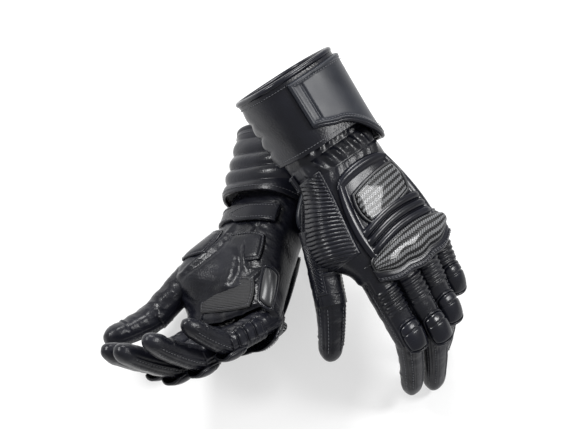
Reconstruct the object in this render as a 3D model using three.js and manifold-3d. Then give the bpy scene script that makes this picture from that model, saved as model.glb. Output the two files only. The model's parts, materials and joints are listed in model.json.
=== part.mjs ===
// A pair of long-cuff leather riding gloves, in millimetres, lying on a table: the left glove palm down with its
// cuff over the right glove's cuff, the right glove palm up. Each glove is made in one frame whose origin is the
// wrist hinge: x runs across the hand with the thumb at -x, y runs from the fingertips to the cuff, and z comes
// out of the back of the hand. "Reach" is the distance from the wrist towards the fingertips. The right glove is
// the left one mirrored through its z plane.
import * as THREE from "three";
import { mergeVertices } from "three/addons/utils/BufferGeometryUtils.js";
import Module from "manifold-3d";

const wasm = await Module();
wasm.setup();

// ---- driving dimensions ----
const WALL = 2.2; // leather with its lining
const SEAM = 0.4; // between two pieces sewn edge to edge
const LAY = 0.6; // between a piece sewn on top and the leather under it
const CLEAR = 0.5; // around a stall that turns inside the piece that holds it
const SQUARE = 2.8; // exponent of the rounded sections: 2 is an ellipse, more is squarer
const TRIM = 1.6; // thickness of a sewn-on panel
const THUMB_CLEAR = 0.7; // around the thumb's stall where it comes out of the hand

const HAND_LENGTH = 104; // wrist hinge to the middle finger's hinge
const HAND_START = 12; // where the hand shells begin
const WRIST_HALF = 37;
const WRIST_TOP = 25;
const WRIST_BOTTOM = 24;
const HEEL_BULGE = 3; // how far the palm swells between the wrist and the knuckles
const KNUCKLE_ARCH = 3; // how much higher the middle knuckle stands than the outer ones
const KNUCKLE_DROP = 0.005; // how the knuckle line falls back towards its ends, per mm squared

const CUFF_LENGTH = 58;
const CUFF_FRONT = -15; // reach of the cuff's front edge
const CUFF_EASE = 8; // room over and under the gathered wrist for the wrist to bend
const CUFF_FLARE = 1.5; // how much wider the rim is than the front edge
const RIM_THICK = 4;
const GATHER_BACK = -22; // reach of the gathered wrist's hidden end
const GATHER_FOLDS = 5;

const FLAP_HINGE_ANGLE = 116; // round the section, where the closure flap is stitched down
const FLAP_END_ANGLE = -6;
const FLAP_THICK = 2.4;

const STRAP_WIDTH = 15;
const STRAP_REACH = 2;
const STRAP_THICK = 2;

const FINGER_GAP = 0.9; // between neighbouring finger stalls at the knuckles
const TIP_TAPER = 0.8; // width of a fingertip as a share of its stall's width
const STALL_BACK = 2.5; // how far a stall reaches behind its hinge
const CURL = 14; // degrees of bend made into each fingertip stall
const FINGERS = [
  { name: "index", width: 22.6, thick: 22, base: 54, tip: 60, splay: -1.2, bend: [10, 26] },
  { name: "middle", width: 23, thick: 22.4, base: 58, tip: 64, splay: 0, bend: [10, 28] },
  { name: "ring", width: 22, thick: 21.6, base: 54, tip: 60, splay: 1.2, bend: [15, 32] },
  { name: "little", width: 20, thick: 19.6, base: 45, tip: 49, splay: 2.4, bend: [19, 36] },
];
const FINGER_MOST_BEND = [68, 74]; // base and tip joint, from straight
const THUMB = { width: 25, thick: 24, base: 50, tip: 50, bend: 16 };
const THUMB_HINGE = [-48, 48, -14]; // x, reach, z
const THUMB_AIM = [-82, 140, -34]; // where the thumb points at rest
const THUMB_SWING = [-12, 22]; // degrees that the thumb turns up and down from rest
const THUMB_TIP_MOST_BEND = 55;

const PLATE = { length: 26, width: 44, thick: 3.2, corner: 6, reach: 45, across: 4 };
const BELLOWS = { start: 64, end: 84, folds: 3, height: 2.6 };
const GUARD = { start: 84, end: 111, height: 5.5, lobe: 6 };
const PAD = { length: 20, height: 4 };

const LEATHER = [0x1e1f24, 0.55];
const GRIP = [0x191a1d, 0.85];
const SMOOTH = [0x4b5058, 0.45];
const CARBON = [0x17181a, 0.2];
const MOULDED = [0x232427, 0.4];

// How each glove lies: where its wrist is on the table, its turn, pitch and roll, how far its wrist bends,
// and how much more than FINGERS says its fingers are curled, first finger to last at the base, and at the tips.
const LYING = {
  left: { at: [20, 66], turn: 35, pitch: 23, roll: 18, wrist: -6, curl: [3, 3, 3, 3], tips: 3 },
  right: { at: [-34, 36], turn: -14, pitch: -1, roll: -42, wrist: 5, curl: [28, 28, 23, 19], tips: -2 },
};

const rad = THREE.MathUtils.degToRad;
const mix = THREE.MathUtils.lerp;
const clamp01 = (t) => THREE.MathUtils.clamp(t, 0, 1);
const ease = (t) => THREE.MathUtils.smoothstep(t, 0, 1);

// ---- sizes that follow from the driving dimensions ----
const fingersWidth = FINGERS.reduce((sum, f) => sum + f.width, 0) + (FINGERS.length - 1) * FINGER_GAP;
const KNUCKLE_HALF = fingersWidth / 2 + CLEAR + WALL;
const KNUCKLE_TOP = KNUCKLE_ARCH + FINGERS[1].thick / 2 + CLEAR + WALL;
const KNUCKLE_BOTTOM = FINGERS[1].thick / 2 + CLEAR + WALL;
let edge = -fingersWidth / 2;
for (const f of FINGERS) {
  f.x = edge + f.width / 2;
  f.z = KNUCKLE_ARCH * (1 - (f.x / KNUCKLE_HALF) ** 2);
  edge += f.width + FINGER_GAP;
}
for (const f of FINGERS) f.reach = knuckleLine(f.x);

// Reach of the knuckle hinges across the hand: furthest at the middle finger.
function knuckleLine(x) {
  return HAND_LENGTH - KNUCKLE_DROP * (x - FINGERS[1].x) ** 2;
}

// ---- meshes ----
// A closed mesh from a list of points and quads or triangles, with its faces turned outwards.
function closedMesh(points, faces) {
  const index = faces.flatMap((f) => (f.length === 4 ? [f[0], f[1], f[2], f[0], f[2], f[3]] : f));
  let volume = 0;
  for (let i = 0; i < index.length; i += 3) {
    const [a, b, c] = [points[index[i]], points[index[i + 1]], points[index[i + 2]]];
    volume += a.dot(new THREE.Vector3().crossVectors(b, c));
  }
  if (volume < 0) index.reverse();
  const geometry = new THREE.BufferGeometry().setFromPoints(points);
  geometry.setIndex(index);
  return geometry;
}

// A tube from rings of points. The rings run down the outside and back up the inside; a ring of rings closes on
// itself when the tube is open at both ends, and ends in two flat caps when it has a closed tip.
function ringMesh(rings, closed) {
  const n = rings[0].length;
  const points = rings.flat();
  const faces = [];
  const last = closed ? rings.length : rings.length - 1;
  for (let r = 0; r < last; r++) {
    const next = (r + 1) % rings.length;
    for (let i = 0; i < n; i++) {
      const j = (i + 1) % n;
      faces.push([r * n + i, r * n + j, next * n + j, next * n + i]);
    }
  }
  if (!closed) {
    for (const [r, way] of [[0, -1], [rings.length - 1, 1]]) {
      const middle = new THREE.Vector3();
      rings[r].forEach((p) => middle.addScaledVector(p, 1 / n));
      points.push(middle);
      for (let i = 0; i < n; i++) {
        const j = (i + 1) % n;
        const [a, b] = way > 0 ? [i, j] : [j, i];
        faces.push([r * n + a, r * n + b, points.length - 1]);
      }
    }
  }
  return closedMesh(points, faces);
}

// A thick patch: outer(p, q) and inner(p, q) give its two faces over the unit square.
function patchMesh(outer, inner, np, nq) {
  const points = [];
  const at = (side, i, j) => (side * (np + 1) + i) * (nq + 1) + j;
  for (const face of [outer, inner])
    for (let i = 0; i <= np; i++) for (let j = 0; j <= nq; j++) points.push(face(i / np, j / nq));
  const faces = [];
  for (let i = 0; i < np; i++)
    for (let j = 0; j < nq; j++) {
      faces.push([at(0, i, j), at(0, i + 1, j), at(0, i + 1, j + 1), at(0, i, j + 1)]);
      faces.push([at(1, i, j), at(1, i, j + 1), at(1, i + 1, j + 1), at(1, i + 1, j)]);
    }
  for (let i = 0; i < np; i++) {
    faces.push([at(0, i, 0), at(1, i, 0), at(1, i + 1, 0), at(0, i + 1, 0)]);
    faces.push([at(0, i + 1, nq), at(1, i + 1, nq), at(1, i, nq), at(0, i, nq)]);
  }
  for (let j = 0; j < nq; j++) {
    faces.push([at(0, 0, j + 1), at(1, 0, j + 1), at(1, 0, j), at(0, 0, j)]);
    faces.push([at(0, np, j), at(1, np, j), at(1, np, j + 1), at(0, np, j + 1)]);
  }
  return closedMesh(points, faces);
}

// The manifold solid of a geometry, after a matrix, and the way back.
function solid(geometry, matrix = new THREE.Matrix4()) {
  const g = geometry.clone().applyMatrix4(matrix);
  g.deleteAttribute("normal");
  g.deleteAttribute("uv");
  const m = mergeVertices(g, 1e-4);
  return new wasm.Manifold(
    new wasm.Mesh({
      numProp: 3,
      vertProperties: m.attributes.position.array,
      triVerts: new Uint32Array(m.index.array),
    }),
  );
}

function cut(geometry, cutters) {
  const made = cutters.reduce((body, c) => body.subtract(c), solid(geometry));
  const biggest = made.decompose().sort((a, b) => b.volume() - a.volume())[0];
  const mesh = biggest.getMesh();
  const result = new THREE.BufferGeometry();
  result.setAttribute("position", new THREE.BufferAttribute(mesh.vertProperties, mesh.numProp));
  result.setIndex(new THREE.BufferAttribute(mesh.triVerts, 1));
  return result;
}

// ---- surfaces ----
// A point of a rounded section: angle 0 is the little finger's side, 90 the back of the hand, 180 the thumb's
// side. "out" stands it off from the surface.
function sectionPoint(s, angle, out) {
  const c = Math.cos(rad(angle));
  const n = Math.sin(rad(angle));
  const high = n > 0 ? s.top : s.bottom;
  return [
    s.x + (s.half + out) * Math.sign(c) * Math.abs(c) ** (2 / SQUARE),
    s.z + (high + out) * Math.sign(n) * Math.abs(n) ** (2 / SQUARE),
  ];
}

// The angle whose point lies at a share of the half width across: -1 is the thumb's side, 1 the little finger's.
function angleAcross(share) {
  return THREE.MathUtils.radToDeg(Math.acos(Math.sign(share) * Math.abs(share) ** (SQUARE / 2)));
}

// The angle at which a seam of the given half gap lies above or below the middle of a section.
function seamAngle(halfGap, high) {
  return THREE.MathUtils.radToDeg(Math.asin((halfGap / high) ** (SQUARE / 2)));
}

function handSection(reach) {
  const t = reach / HAND_LENGTH;
  const grow = ease(t);
  return {
    x: 0,
    z: 0,
    half: mix(WRIST_HALF, KNUCKLE_HALF, grow),
    top: mix(WRIST_TOP, KNUCKLE_TOP, clamp01(t)),
    bottom: mix(WRIST_BOTTOM, KNUCKLE_BOTTOM, clamp01(t)) + HEEL_BULGE * Math.sin(Math.PI * clamp01(t)),
  };
}

function handPoint(reach, angle, out) {
  const [x, z] = sectionPoint(handSection(reach), angle, out);
  return new THREE.Vector3(x, -reach, z);
}

function cuffSection(reach) {
  const t = (CUFF_FRONT - reach) / CUFF_LENGTH;
  return {
    x: 0,
    z: 0,
    half: WRIST_HALF + CLEAR + WALL + CUFF_FLARE * t,
    top: WRIST_TOP + CUFF_EASE + WALL + CUFF_FLARE * t,
    bottom: WRIST_BOTTOM + CUFF_EASE + WALL + CUFF_FLARE * t,
  };
}

function cuffPoint(reach, angle, out) {
  const [x, z] = sectionPoint(cuffSection(reach), angle, out);
  return new THREE.Vector3(x, -reach, z);
}

// A patch laid on a surface between two stand-offs, over reach and angle ranges that may vary along each other.
function laid(point, { reach, angle, low, high, np, nq }) {
  const place = (p, q, out) => {
    const a = typeof angle === "function" ? angle(q, p) : mix(angle[0], angle[1], q);
    const r = typeof reach === "function" ? reach(p, a) : mix(reach[0], reach[1], p);
    return point(r, a, out);
  };
  const top = typeof high === "function" ? high : () => high;
  return patchMesh((p, q) => place(p, q, top(p, q)), (p, q) => place(p, q, low), np, nq);
}

// ---- the glove's pieces ----
const steps = (n) => Array.from({ length: n + 1 }, (_, i) => i / n);

function openTube(point, outer, inner, from, to, along, around) {
  const ring = (t, out) =>
    steps(around).slice(0, -1).map((q) => {
      const angle = 360 * q;
      return point(mix(from(angle), to(angle), t), angle, out(t));
    });
  const down = steps(along).map((t) => ring(t, outer));
  const up = steps(along).reverse().map((t) => ring(t, inner));
  return ringMesh([...down, ...up], true);
}

// The wavy sleeve between the cuff and the hand.
function gatheredWrist() {
  const wave = (t) => 0.9 * Math.cos(2 * Math.PI * GATHER_FOLDS * t) - 0.9;
  return openTube(
    handPoint,
    wave,
    () => -WALL - 1.8,
    () => GATHER_BACK,
    () => HAND_START - SEAM,
    2 * GATHER_FOLDS,
    20,
  );
}

function cuffShell() {
  const back = CUFF_FRONT - CUFF_LENGTH;
  return openTube(cuffPoint, () => 0, () => -WALL, () => back, () => CUFF_FRONT, 3, 20);
}

// The rolled binding round the rim: a rounded band with the cuff's end running up to it.
function cuffBinding() {
  const back = CUFF_FRONT - CUFF_LENGTH - SEAM;
  return openTube(
    cuffPoint,
    (t) => (t === 0.5 ? 1.4 : 0.6),
    (t) => (t === 0.5 ? -WALL - 0.8 : -WALL),
    () => back - RIM_THICK,
    () => back,
    2,
    20,
  );
}

// The closure flap: stitched along the cuff on the back, over the little finger's side, with a tongue that runs
// forward over the wrist there.
function closureFlap() {
  const edgeReach = (a) => mix(CUFF_FRONT - 16, CUFF_FRONT + 22, ease((FLAP_HINGE_ANGLE - a) / 95));
  const back = CUFF_FRONT - CUFF_LENGTH + 5;
  return laid(cuffPoint, {
    reach: (p, a) => mix(back, edgeReach(a), p),
    angle: [FLAP_HINGE_ANGLE - 3, FLAP_END_ANGLE],
    low: LAY,
    high: (p, q) => LAY + FLAP_THICK * (p === 0 || p === 1 || q === 1 ? 0.7 : 1),
    np: 6,
    nq: 10,
  });
}

// The strap that draws the wrist in, across the palm side from the thumb's side.
function wristStrap() {
  return laid(handPoint, {
    reach: (p) => STRAP_REACH + STRAP_WIDTH * (p - 0.5),
    angle: [186, 322],
    low: LAY,
    high: LAY + STRAP_THICK,
    np: 1,
    nq: 12,
  });
}

// The front edge of the hand shells: over the knuckle hinges on the back, cut away on the palm so that the
// stalls can fold.
function handFront(angle) {
  const [x, z] = sectionPoint(handSection(HAND_LENGTH), angle, 0);
  const cutBack = (FINGERS[1].thick / 2) * Math.tan(rad(FINGER_MOST_BEND[0] / 2)) + 2;
  const low = clamp01((-z / KNUCKLE_BOTTOM - 0.1) / 0.7);
  return knuckleLine(x) + 1 - (cutBack + 1) * low;
}

// Space for the finger stalls: a drum round each hinge.
function knuckleCutters() {
  return FINGERS.map((f) => {
    const radius = Math.hypot(f.thick / 2, STALL_BACK) + CLEAR;
    const drum = new THREE.CylinderGeometry(radius, radius, f.width + 2 * CLEAR, 24).rotateZ(Math.PI / 2);
    const turn = new THREE.Matrix4().makeRotationZ(rad(-f.splay));
    turn.setPosition(f.x, -f.reach, f.z);
    return solid(drum, turn);
  });
}

function halfHand(from, to, cutters) {
  const shell = laid(handPoint, {
    reach: (p, a) => mix(HAND_START, handFront(a), p),
    angle: [from, to],
    low: -WALL,
    high: 0,
    np: 6,
    nq: 12,
  });
  return cut(shell, cutters);
}

// A finger stall in its hinge's frame: rounded section, from behind the hinge to a length, tapering.
function stallPoint(f, length, shares, curl) {
  return (reach, angle, out) => {
    const t = clamp01(reach / length);
    const scale = mix(shares[0], shares[1], t);
    const half = (f.width / 2) * scale;
    const high = (f.thick / 2) * scale;
    const [x, z] = sectionPoint({ x: 0, z: 0, half, top: high, bottom: high }, angle, out);
    const bend = rad(curl) * t;
    const drop = -(length / 2) * Math.sin(bend) * t;
    return new THREE.Vector3(x, -reach * Math.cos(bend / 2) - z * Math.sin(bend), drop + z * Math.cos(bend));
  };
}

// A stall that is open at both ends; its front is cut away below so that the next one can fold.
function baseStall(f, tipShare, mostBend) {
  const point = stallPoint(f, f.base, [1, 0.94], 0);
  const r = (f.thick / 2) * tipShare;
  const cutBack = r * Math.tan(rad(mostBend / 2)) + 1.6;
  const front = (angle) => {
    const low = clamp01((-Math.sin(rad(angle)) - 0.05) / 0.6);
    return f.base + 1 - (cutBack + 1) * low;
  };
  return openTube(point, () => 0, () => -WALL, () => -STALL_BACK, front, 3, 12);
}

// A stall with a rounded closed tip.
function tipStall(f, share) {
  const size = { width: f.width * share, thick: f.thick * share };
  const point = stallPoint(size, f.tip, [1, TIP_TAPER], CURL);
  const around = 12;
  const round = (size.width / 2) * TIP_TAPER;
  const ring = (reach, shrink, wall) =>
    steps(around).slice(0, -1).map((q) => {
      const p = point(reach, 360 * q, -wall);
      const centre = point(reach, 90, 0).add(point(reach, 270, 0)).multiplyScalar(0.5);
      return centre.add(p.sub(centre.clone()).multiplyScalar(shrink));
    });
  const outer = [
    ...[0.3, 0.7, 0.92].map((k) => ring(f.tip - round * (1 - Math.sqrt(1 - k * k)), k, 0)),
    ...[0.7, 0.35].map((t) => ring((f.tip - round) * t, 1, 0)),
    ring(-STALL_BACK, 1, 0),
  ];
  const inner = [
    ring(-STALL_BACK, 1, WALL),
    ...[0.35, 0.7].map((t) => ring((f.tip - round) * t, 1, WALL)),
    ...[0.92, 0.7, 0.3].map((k) => ring(f.tip - WALL - round * (1 - Math.sqrt(1 - k * k)), k, WALL)),
  ];
  return ringMesh([...outer, ...inner], false);
}

// The hard plate on the back of the hand: flat, with rounded corners and a bevelled edge.
function metacarpalPlate() {
  const { length, width, corner, thick } = PLATE;
  const [x, y] = [width / 2 - corner, length / 2 - corner];
  const outline = new THREE.Shape();
  outline.absarc(x, y, corner, 0, Math.PI / 2);
  outline.absarc(-x, y, corner, Math.PI / 2, Math.PI);
  outline.absarc(-x, -y, corner, Math.PI, 1.5 * Math.PI);
  outline.absarc(x, -y, corner, 1.5 * Math.PI, 2 * Math.PI);
  outline.closePath();
  return new THREE.ExtrudeGeometry(outline, { depth: thick, bevelEnabled: false, curveSegments: 4 });
}

// The oval moulded pad on the back of a finger stall, over its outer joint.
function fingerPad(f) {
  const point = stallPoint(f, f.base, [1, 0.94], 0);
  const middle = f.base - PAD.length / 2 - 1;
  return laid(point, {
    reach: (p, a) => middle + (p - 0.5) * PAD.length * Math.sqrt(Math.max(0.1, 1 - ((a - 90) / 46) ** 2)),
    angle: [48, 132],
    low: LAY,
    high: (p, q) => LAY + 1 + PAD.height * Math.sin(Math.PI * p) * Math.sin(Math.PI * q),
    np: 4,
    nq: 6,
  });
}

// The sewn-on pieces of the hand, each as a range of reach and angle with the stand-offs of its two faces.
const sine = (t) => Math.sin(Math.PI * t);
const panels = {
  back_panel: { reach: [20, 60], angle: [128, 44], low: LAY, high: LAY + TRIM, np: 4, nq: 10 },
  stretch_bellows: {
    reach: [BELLOWS.start, BELLOWS.end - LAY],
    angle: [126, 44],
    low: LAY,
    high: (p, q) => LAY + TRIM + BELLOWS.height * sine(p * BELLOWS.folds) ** 2 * Math.min(1, 4 * sine(q)),
    np: 4 * BELLOWS.folds,
    nq: 6,
  },
  knuckle_guard: {
    reach: (p, a) => mix(GUARD.start, GUARD.end - GUARD.lobe * (1 - Math.abs(Math.cos(rad((a - 85) * 2.2)))), p),
    angle: [134, 36],
    low: LAY,
    high: (p, q) => LAY + 1.2 + GUARD.height * sine(0.1 + 0.8 * p) * Math.min(1, 0.3 + 2.5 * sine(q)),
    np: 6,
    nq: 14,
  },
  side_rib_panel: {
    reach: [16, 52],
    angle: [146, 180],
    low: LAY,
    high: (p) => LAY + 1 + 1.2 * Math.abs(sine(p * 9)),
    np: 18,
    nq: 3,
  },
  edge_slider: {
    reach: [54, 84],
    angle: [-12, -42],
    low: LAY,
    high: (p, q) => LAY + 1 + 3 * sine(p) * sine(q),
    np: 6,
    nq: 5,
  },
  palm_heel_panel: { reach: [22, 50], angle: [-50, -96], low: LAY, high: LAY + TRIM, np: 3, nq: 6 },
  palm_grip_patch: { reach: [64, 90], angle: [-54, -106], low: LAY, high: LAY + TRIM, np: 3, nq: 6 },
  thumb_ball_patch: { reach: [18, 40], angle: [-104, -138], low: LAY, high: LAY + TRIM, np: 3, nq: 5 },
};
const panelFinish = {
  back_panel: LEATHER,
  stretch_bellows: LEATHER,
  knuckle_guard: CARBON,
  side_rib_panel: LEATHER,
  edge_slider: MOULDED,
  palm_heel_panel: GRIP,
  palm_grip_patch: GRIP,
  thumb_ball_patch: LEATHER,
};

// ---- assembly ----
function piece(parent, name, geometry, [colour, roughness]) {
  const material = new THREE.MeshStandardMaterial({ color: colour, roughness, metalness: 0 });
  const mesh = new THREE.Mesh(geometry, material);
  mesh.name = name;
  parent.add(mesh);
  return mesh;
}

// A group that turns about its own x axis: a positive bend folds towards the palm.
function hinge(parent, name, position, bend) {
  const group = new THREE.Group();
  group.name = name;
  group.position.set(...position);
  group.rotation.x = rad(bend);
  parent.add(group);
  return group;
}

// The matrix of the thumb's hinge frame in the hand: its stall points at THUMB_AIM, its hinge axis level.
function thumbFrame(extra = 0) {
  const from = new THREE.Vector3(THUMB_HINGE[0], -THUMB_HINGE[1], THUMB_HINGE[2]);
  const aim = new THREE.Vector3(THUMB_AIM[0], -THUMB_AIM[1], THUMB_AIM[2]);
  const y = from.clone().sub(aim).normalize();
  const x = new THREE.Vector3().crossVectors(y, new THREE.Vector3(0, 0, 1)).normalize();
  const z = new THREE.Vector3().crossVectors(x, y);
  const frame = new THREE.Matrix4().makeBasis(x, y, z).setPosition(from);
  return frame.multiply(new THREE.Matrix4().makeRotationX(rad(extra)));
}

// Room in the hand shells for the thumb's stall over its whole swing.
function thumbCutters() {
  const point = stallPoint(THUMB, THUMB.base, [1, 0.94], 0);
  const ring = (r) => steps(20).slice(0, -1).map((q) => point(r, 360 * q, THUMB_CLEAR));
  const tube = ringMesh([ring(-STALL_BACK - THUMB_CLEAR), ring(THUMB.base)], false);
  const swings = steps(4).map((t) => mix(THUMB_SWING[0], THUMB_SWING[1], t));
  return [0, ...swings].map((s) => solid(tube, thumbFrame(s)));
}

function makeGlove(side, lie) {
  const glove = new THREE.Group();
  glove.rotation.set(rad(lie.pitch), rad(lie.roll), rad(lie.turn), "ZXY");
  const frame = new THREE.Group();
  frame.scale.z = side === "right" ? -1 : 1;
  glove.add(frame);
  const name = (text) => side + "_" + text;

  const cuff = new THREE.Group();
  frame.add(cuff);
  piece(cuff, name("cuff_shell"), cuffShell(), LEATHER);
  piece(cuff, name("cuff_binding"), cuffBinding(), SMOOTH);
  const [flapX, flapZ] = sectionPoint(cuffSection(CUFF_FRONT), FLAP_HINGE_ANGLE, LAY + FLAP_THICK);
  const flapHinge = new THREE.Group();
  flapHinge.name = name("cuff_flap_open");
  flapHinge.position.set(flapX, -CUFF_FRONT, flapZ);
  cuff.add(flapHinge);
  piece(flapHinge, name("closure_flap"), closureFlap().translate(-flapX, CUFF_FRONT, -flapZ), SMOOTH);

  const hand = hinge(frame, name("wrist_bend"), [0, 0, 0], lie.wrist);
  piece(hand, name("gathered_wrist"), gatheredWrist(), LEATHER);
  const knuckles = knuckleCutters();
  const thumbRoom = thumbCutters();
  const back = seamAngle(SEAM / 2, WRIST_TOP);
  const palm = seamAngle(SEAM / 2, WRIST_BOTTOM);
  piece(hand, name("back_shell"), halfHand(back, 180 - back, [...knuckles, ...thumbRoom]), LEATHER);
  piece(hand, name("palm_shell"), halfHand(-palm, palm - 180, [...knuckles, ...thumbRoom]), LEATHER);
  for (const [text, range] of Object.entries(panels)) {
    const plain = laid(handPoint, range);
    const near = text === "side_rib_panel" || text === "thumb_ball_patch";
    piece(hand, name(text), near ? cut(plain, thumbRoom) : plain, panelFinish[text]);
  }
  const seat = handPoint(PLATE.reach, angleAcross(PLATE.across / KNUCKLE_HALF), LAY + TRIM + SEAM);
  const slope = Math.atan2(WRIST_TOP - KNUCKLE_TOP, HAND_LENGTH);
  const plate = piece(hand, name("metacarpal_plate"), metacarpalPlate(), CARBON);
  plate.position.copy(seat);
  plate.rotation.x = slope;

  const [strapX, strapZ] = sectionPoint(handSection(STRAP_REACH), 186, LAY + STRAP_THICK);
  const strap = new THREE.Group();
  strap.name = name("strap_open");
  strap.position.set(strapX, -STRAP_REACH, strapZ);
  hand.add(strap);
  piece(strap, name("wrist_strap"), wristStrap().translate(-strapX, STRAP_REACH, -strapZ), LEATHER);

  for (const f of FINGERS) {
    const tipShare = 0.94 - (2 * (WALL + CLEAR)) / f.thick;
    const turn = new THREE.Group();
    turn.position.set(f.x, -f.reach, f.z);
    turn.rotation.z = rad(-f.splay);
    hand.add(turn);
    const base = hinge(turn, name(f.name + "_base_bend"), [0, 0, 0], f.bend[0] + lie.curl[FINGERS.indexOf(f)]);
    piece(base, name(f.name + "_base_stall"), baseStall(f, tipShare, FINGER_MOST_BEND[1]), LEATHER);
    piece(base, name(f.name + "_knuckle_pad"), fingerPad(f), MOULDED);
    const tip = hinge(base, name(f.name + "_tip_bend"), [0, -f.base, 0], f.bend[1] + lie.tips);
    piece(tip, name(f.name + "_tip_stall"), tipStall(f, tipShare), LEATHER);
  }
  const swing = new THREE.Group();
  swing.name = name("thumb_base_bend");
  swing.applyMatrix4(thumbFrame());
  hand.add(swing);
  const share = 0.94 - (2 * (WALL + CLEAR)) / THUMB.thick;
  piece(swing, name("thumb_base_stall"), baseStall(THUMB, share, THUMB_TIP_MOST_BEND), LEATHER);
  const tip = hinge(swing, name("thumb_tip_bend"), [0, -THUMB.base, 0], THUMB.bend);
  piece(tip, name("thumb_tip_stall"), tipStall(THUMB, share), LEATHER);

  glove.position.set(...lie.at, 0);
  glove.position.z = -new THREE.Box3().setFromObject(glove, true).min.z;
  return glove;
}

const pair = new THREE.Group();
pair.add(makeGlove("left", LYING.left), makeGlove("right", LYING.right));
const box = new THREE.Box3().setFromObject(pair, true);
pair.position.set(-(box.min.x + box.max.x) / 2, -(box.min.y + box.max.y) / 2, -box.min.z);

export default pair;
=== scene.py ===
import json
import math

import bpy
import numpy as np
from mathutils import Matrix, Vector


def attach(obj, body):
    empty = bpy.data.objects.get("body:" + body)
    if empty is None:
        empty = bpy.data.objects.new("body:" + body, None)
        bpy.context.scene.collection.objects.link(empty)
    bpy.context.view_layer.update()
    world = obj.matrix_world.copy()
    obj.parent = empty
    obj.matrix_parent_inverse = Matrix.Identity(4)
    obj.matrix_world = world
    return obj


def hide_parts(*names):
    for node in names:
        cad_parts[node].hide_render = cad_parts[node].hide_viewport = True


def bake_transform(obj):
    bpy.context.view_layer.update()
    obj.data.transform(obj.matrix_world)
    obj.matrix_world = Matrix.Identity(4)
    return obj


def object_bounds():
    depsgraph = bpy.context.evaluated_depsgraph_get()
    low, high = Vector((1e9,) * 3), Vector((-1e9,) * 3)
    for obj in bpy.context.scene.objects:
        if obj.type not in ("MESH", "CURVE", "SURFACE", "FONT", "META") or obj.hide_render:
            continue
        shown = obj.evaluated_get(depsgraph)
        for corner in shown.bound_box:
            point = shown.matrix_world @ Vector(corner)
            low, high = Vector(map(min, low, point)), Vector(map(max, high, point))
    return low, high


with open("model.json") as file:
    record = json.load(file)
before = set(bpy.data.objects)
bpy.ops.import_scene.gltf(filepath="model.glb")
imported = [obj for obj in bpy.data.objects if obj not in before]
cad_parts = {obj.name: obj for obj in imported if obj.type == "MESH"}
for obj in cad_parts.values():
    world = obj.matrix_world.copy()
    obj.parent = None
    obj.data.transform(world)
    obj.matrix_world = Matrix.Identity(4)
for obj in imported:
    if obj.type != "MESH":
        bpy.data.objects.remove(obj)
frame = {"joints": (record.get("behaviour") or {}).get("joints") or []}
cad_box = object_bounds()

# ---- the table, the light and the camera ---------------------------------------------------------------
# The pair lies on a white table top and is looked at with a long lens from above, a little from the
# fingers' side. Three small panels hang over it, so that black leather shows narrow highlights with soft
# edges.
centre = [(low + high) / 2 for low, high in zip(*cad_box)]
CAMERA_LENS = 200.0
CAMERA_DISTANCE = 2.56
CAMERA_TILT = math.radians(22.0)
VIEW_CENTRE = (0.002, 0.004, 0.0)

camera = bpy.data.objects.new("camera", bpy.data.cameras.new("camera"))
camera.data.lens = CAMERA_LENS
camera.data.clip_end = 20.0
camera.location = (VIEW_CENTRE[0], VIEW_CENTRE[1] - CAMERA_DISTANCE * math.sin(CAMERA_TILT),
                   VIEW_CENTRE[2] + centre[2] + CAMERA_DISTANCE * math.cos(CAMERA_TILT))
camera.rotation_euler = (CAMERA_TILT, 0, 0)
bpy.context.scene.collection.objects.link(camera)
bpy.context.scene.camera = camera
bpy.context.scene.view_settings.view_transform = "Standard"


def panel_light(name, place, size, power, aim):
    """A square area lamp at place, turned to face aim."""
    lamp = bpy.data.lights.new(name, "AREA")
    lamp.shape, lamp.size, lamp.energy = "SQUARE", size, power
    thing = bpy.data.objects.new(name, lamp)
    thing.location = place
    thing.rotation_euler = (Vector(aim) - Vector(place)).to_track_quat("-Z", "Y").to_euler()
    bpy.context.scene.collection.objects.link(thing)


LIT_POINT = (0, 0, 0.05)
panel_light("panel_left", (-0.95, 0.45, 1.05), 0.34, 19.0, LIT_POINT)
panel_light("panel_right", (1.0, 0.15, 0.95), 0.32, 13.0, LIT_POINT)
panel_light("panel_far", (0.1, 1.15, 0.9), 0.34, 15.0, LIT_POINT)


def new_material(name):
    """An empty node material with its Principled shader and output."""
    material = bpy.data.materials.new(name)
    material.use_nodes = True
    tree = material.node_tree
    tree.nodes.clear()
    shader = tree.nodes.new("ShaderNodeBsdfPrincipled")
    out = tree.nodes.new("ShaderNodeOutputMaterial")
    tree.links.new(shader.outputs[0], out.inputs[0])
    return material, tree, shader, out


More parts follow.
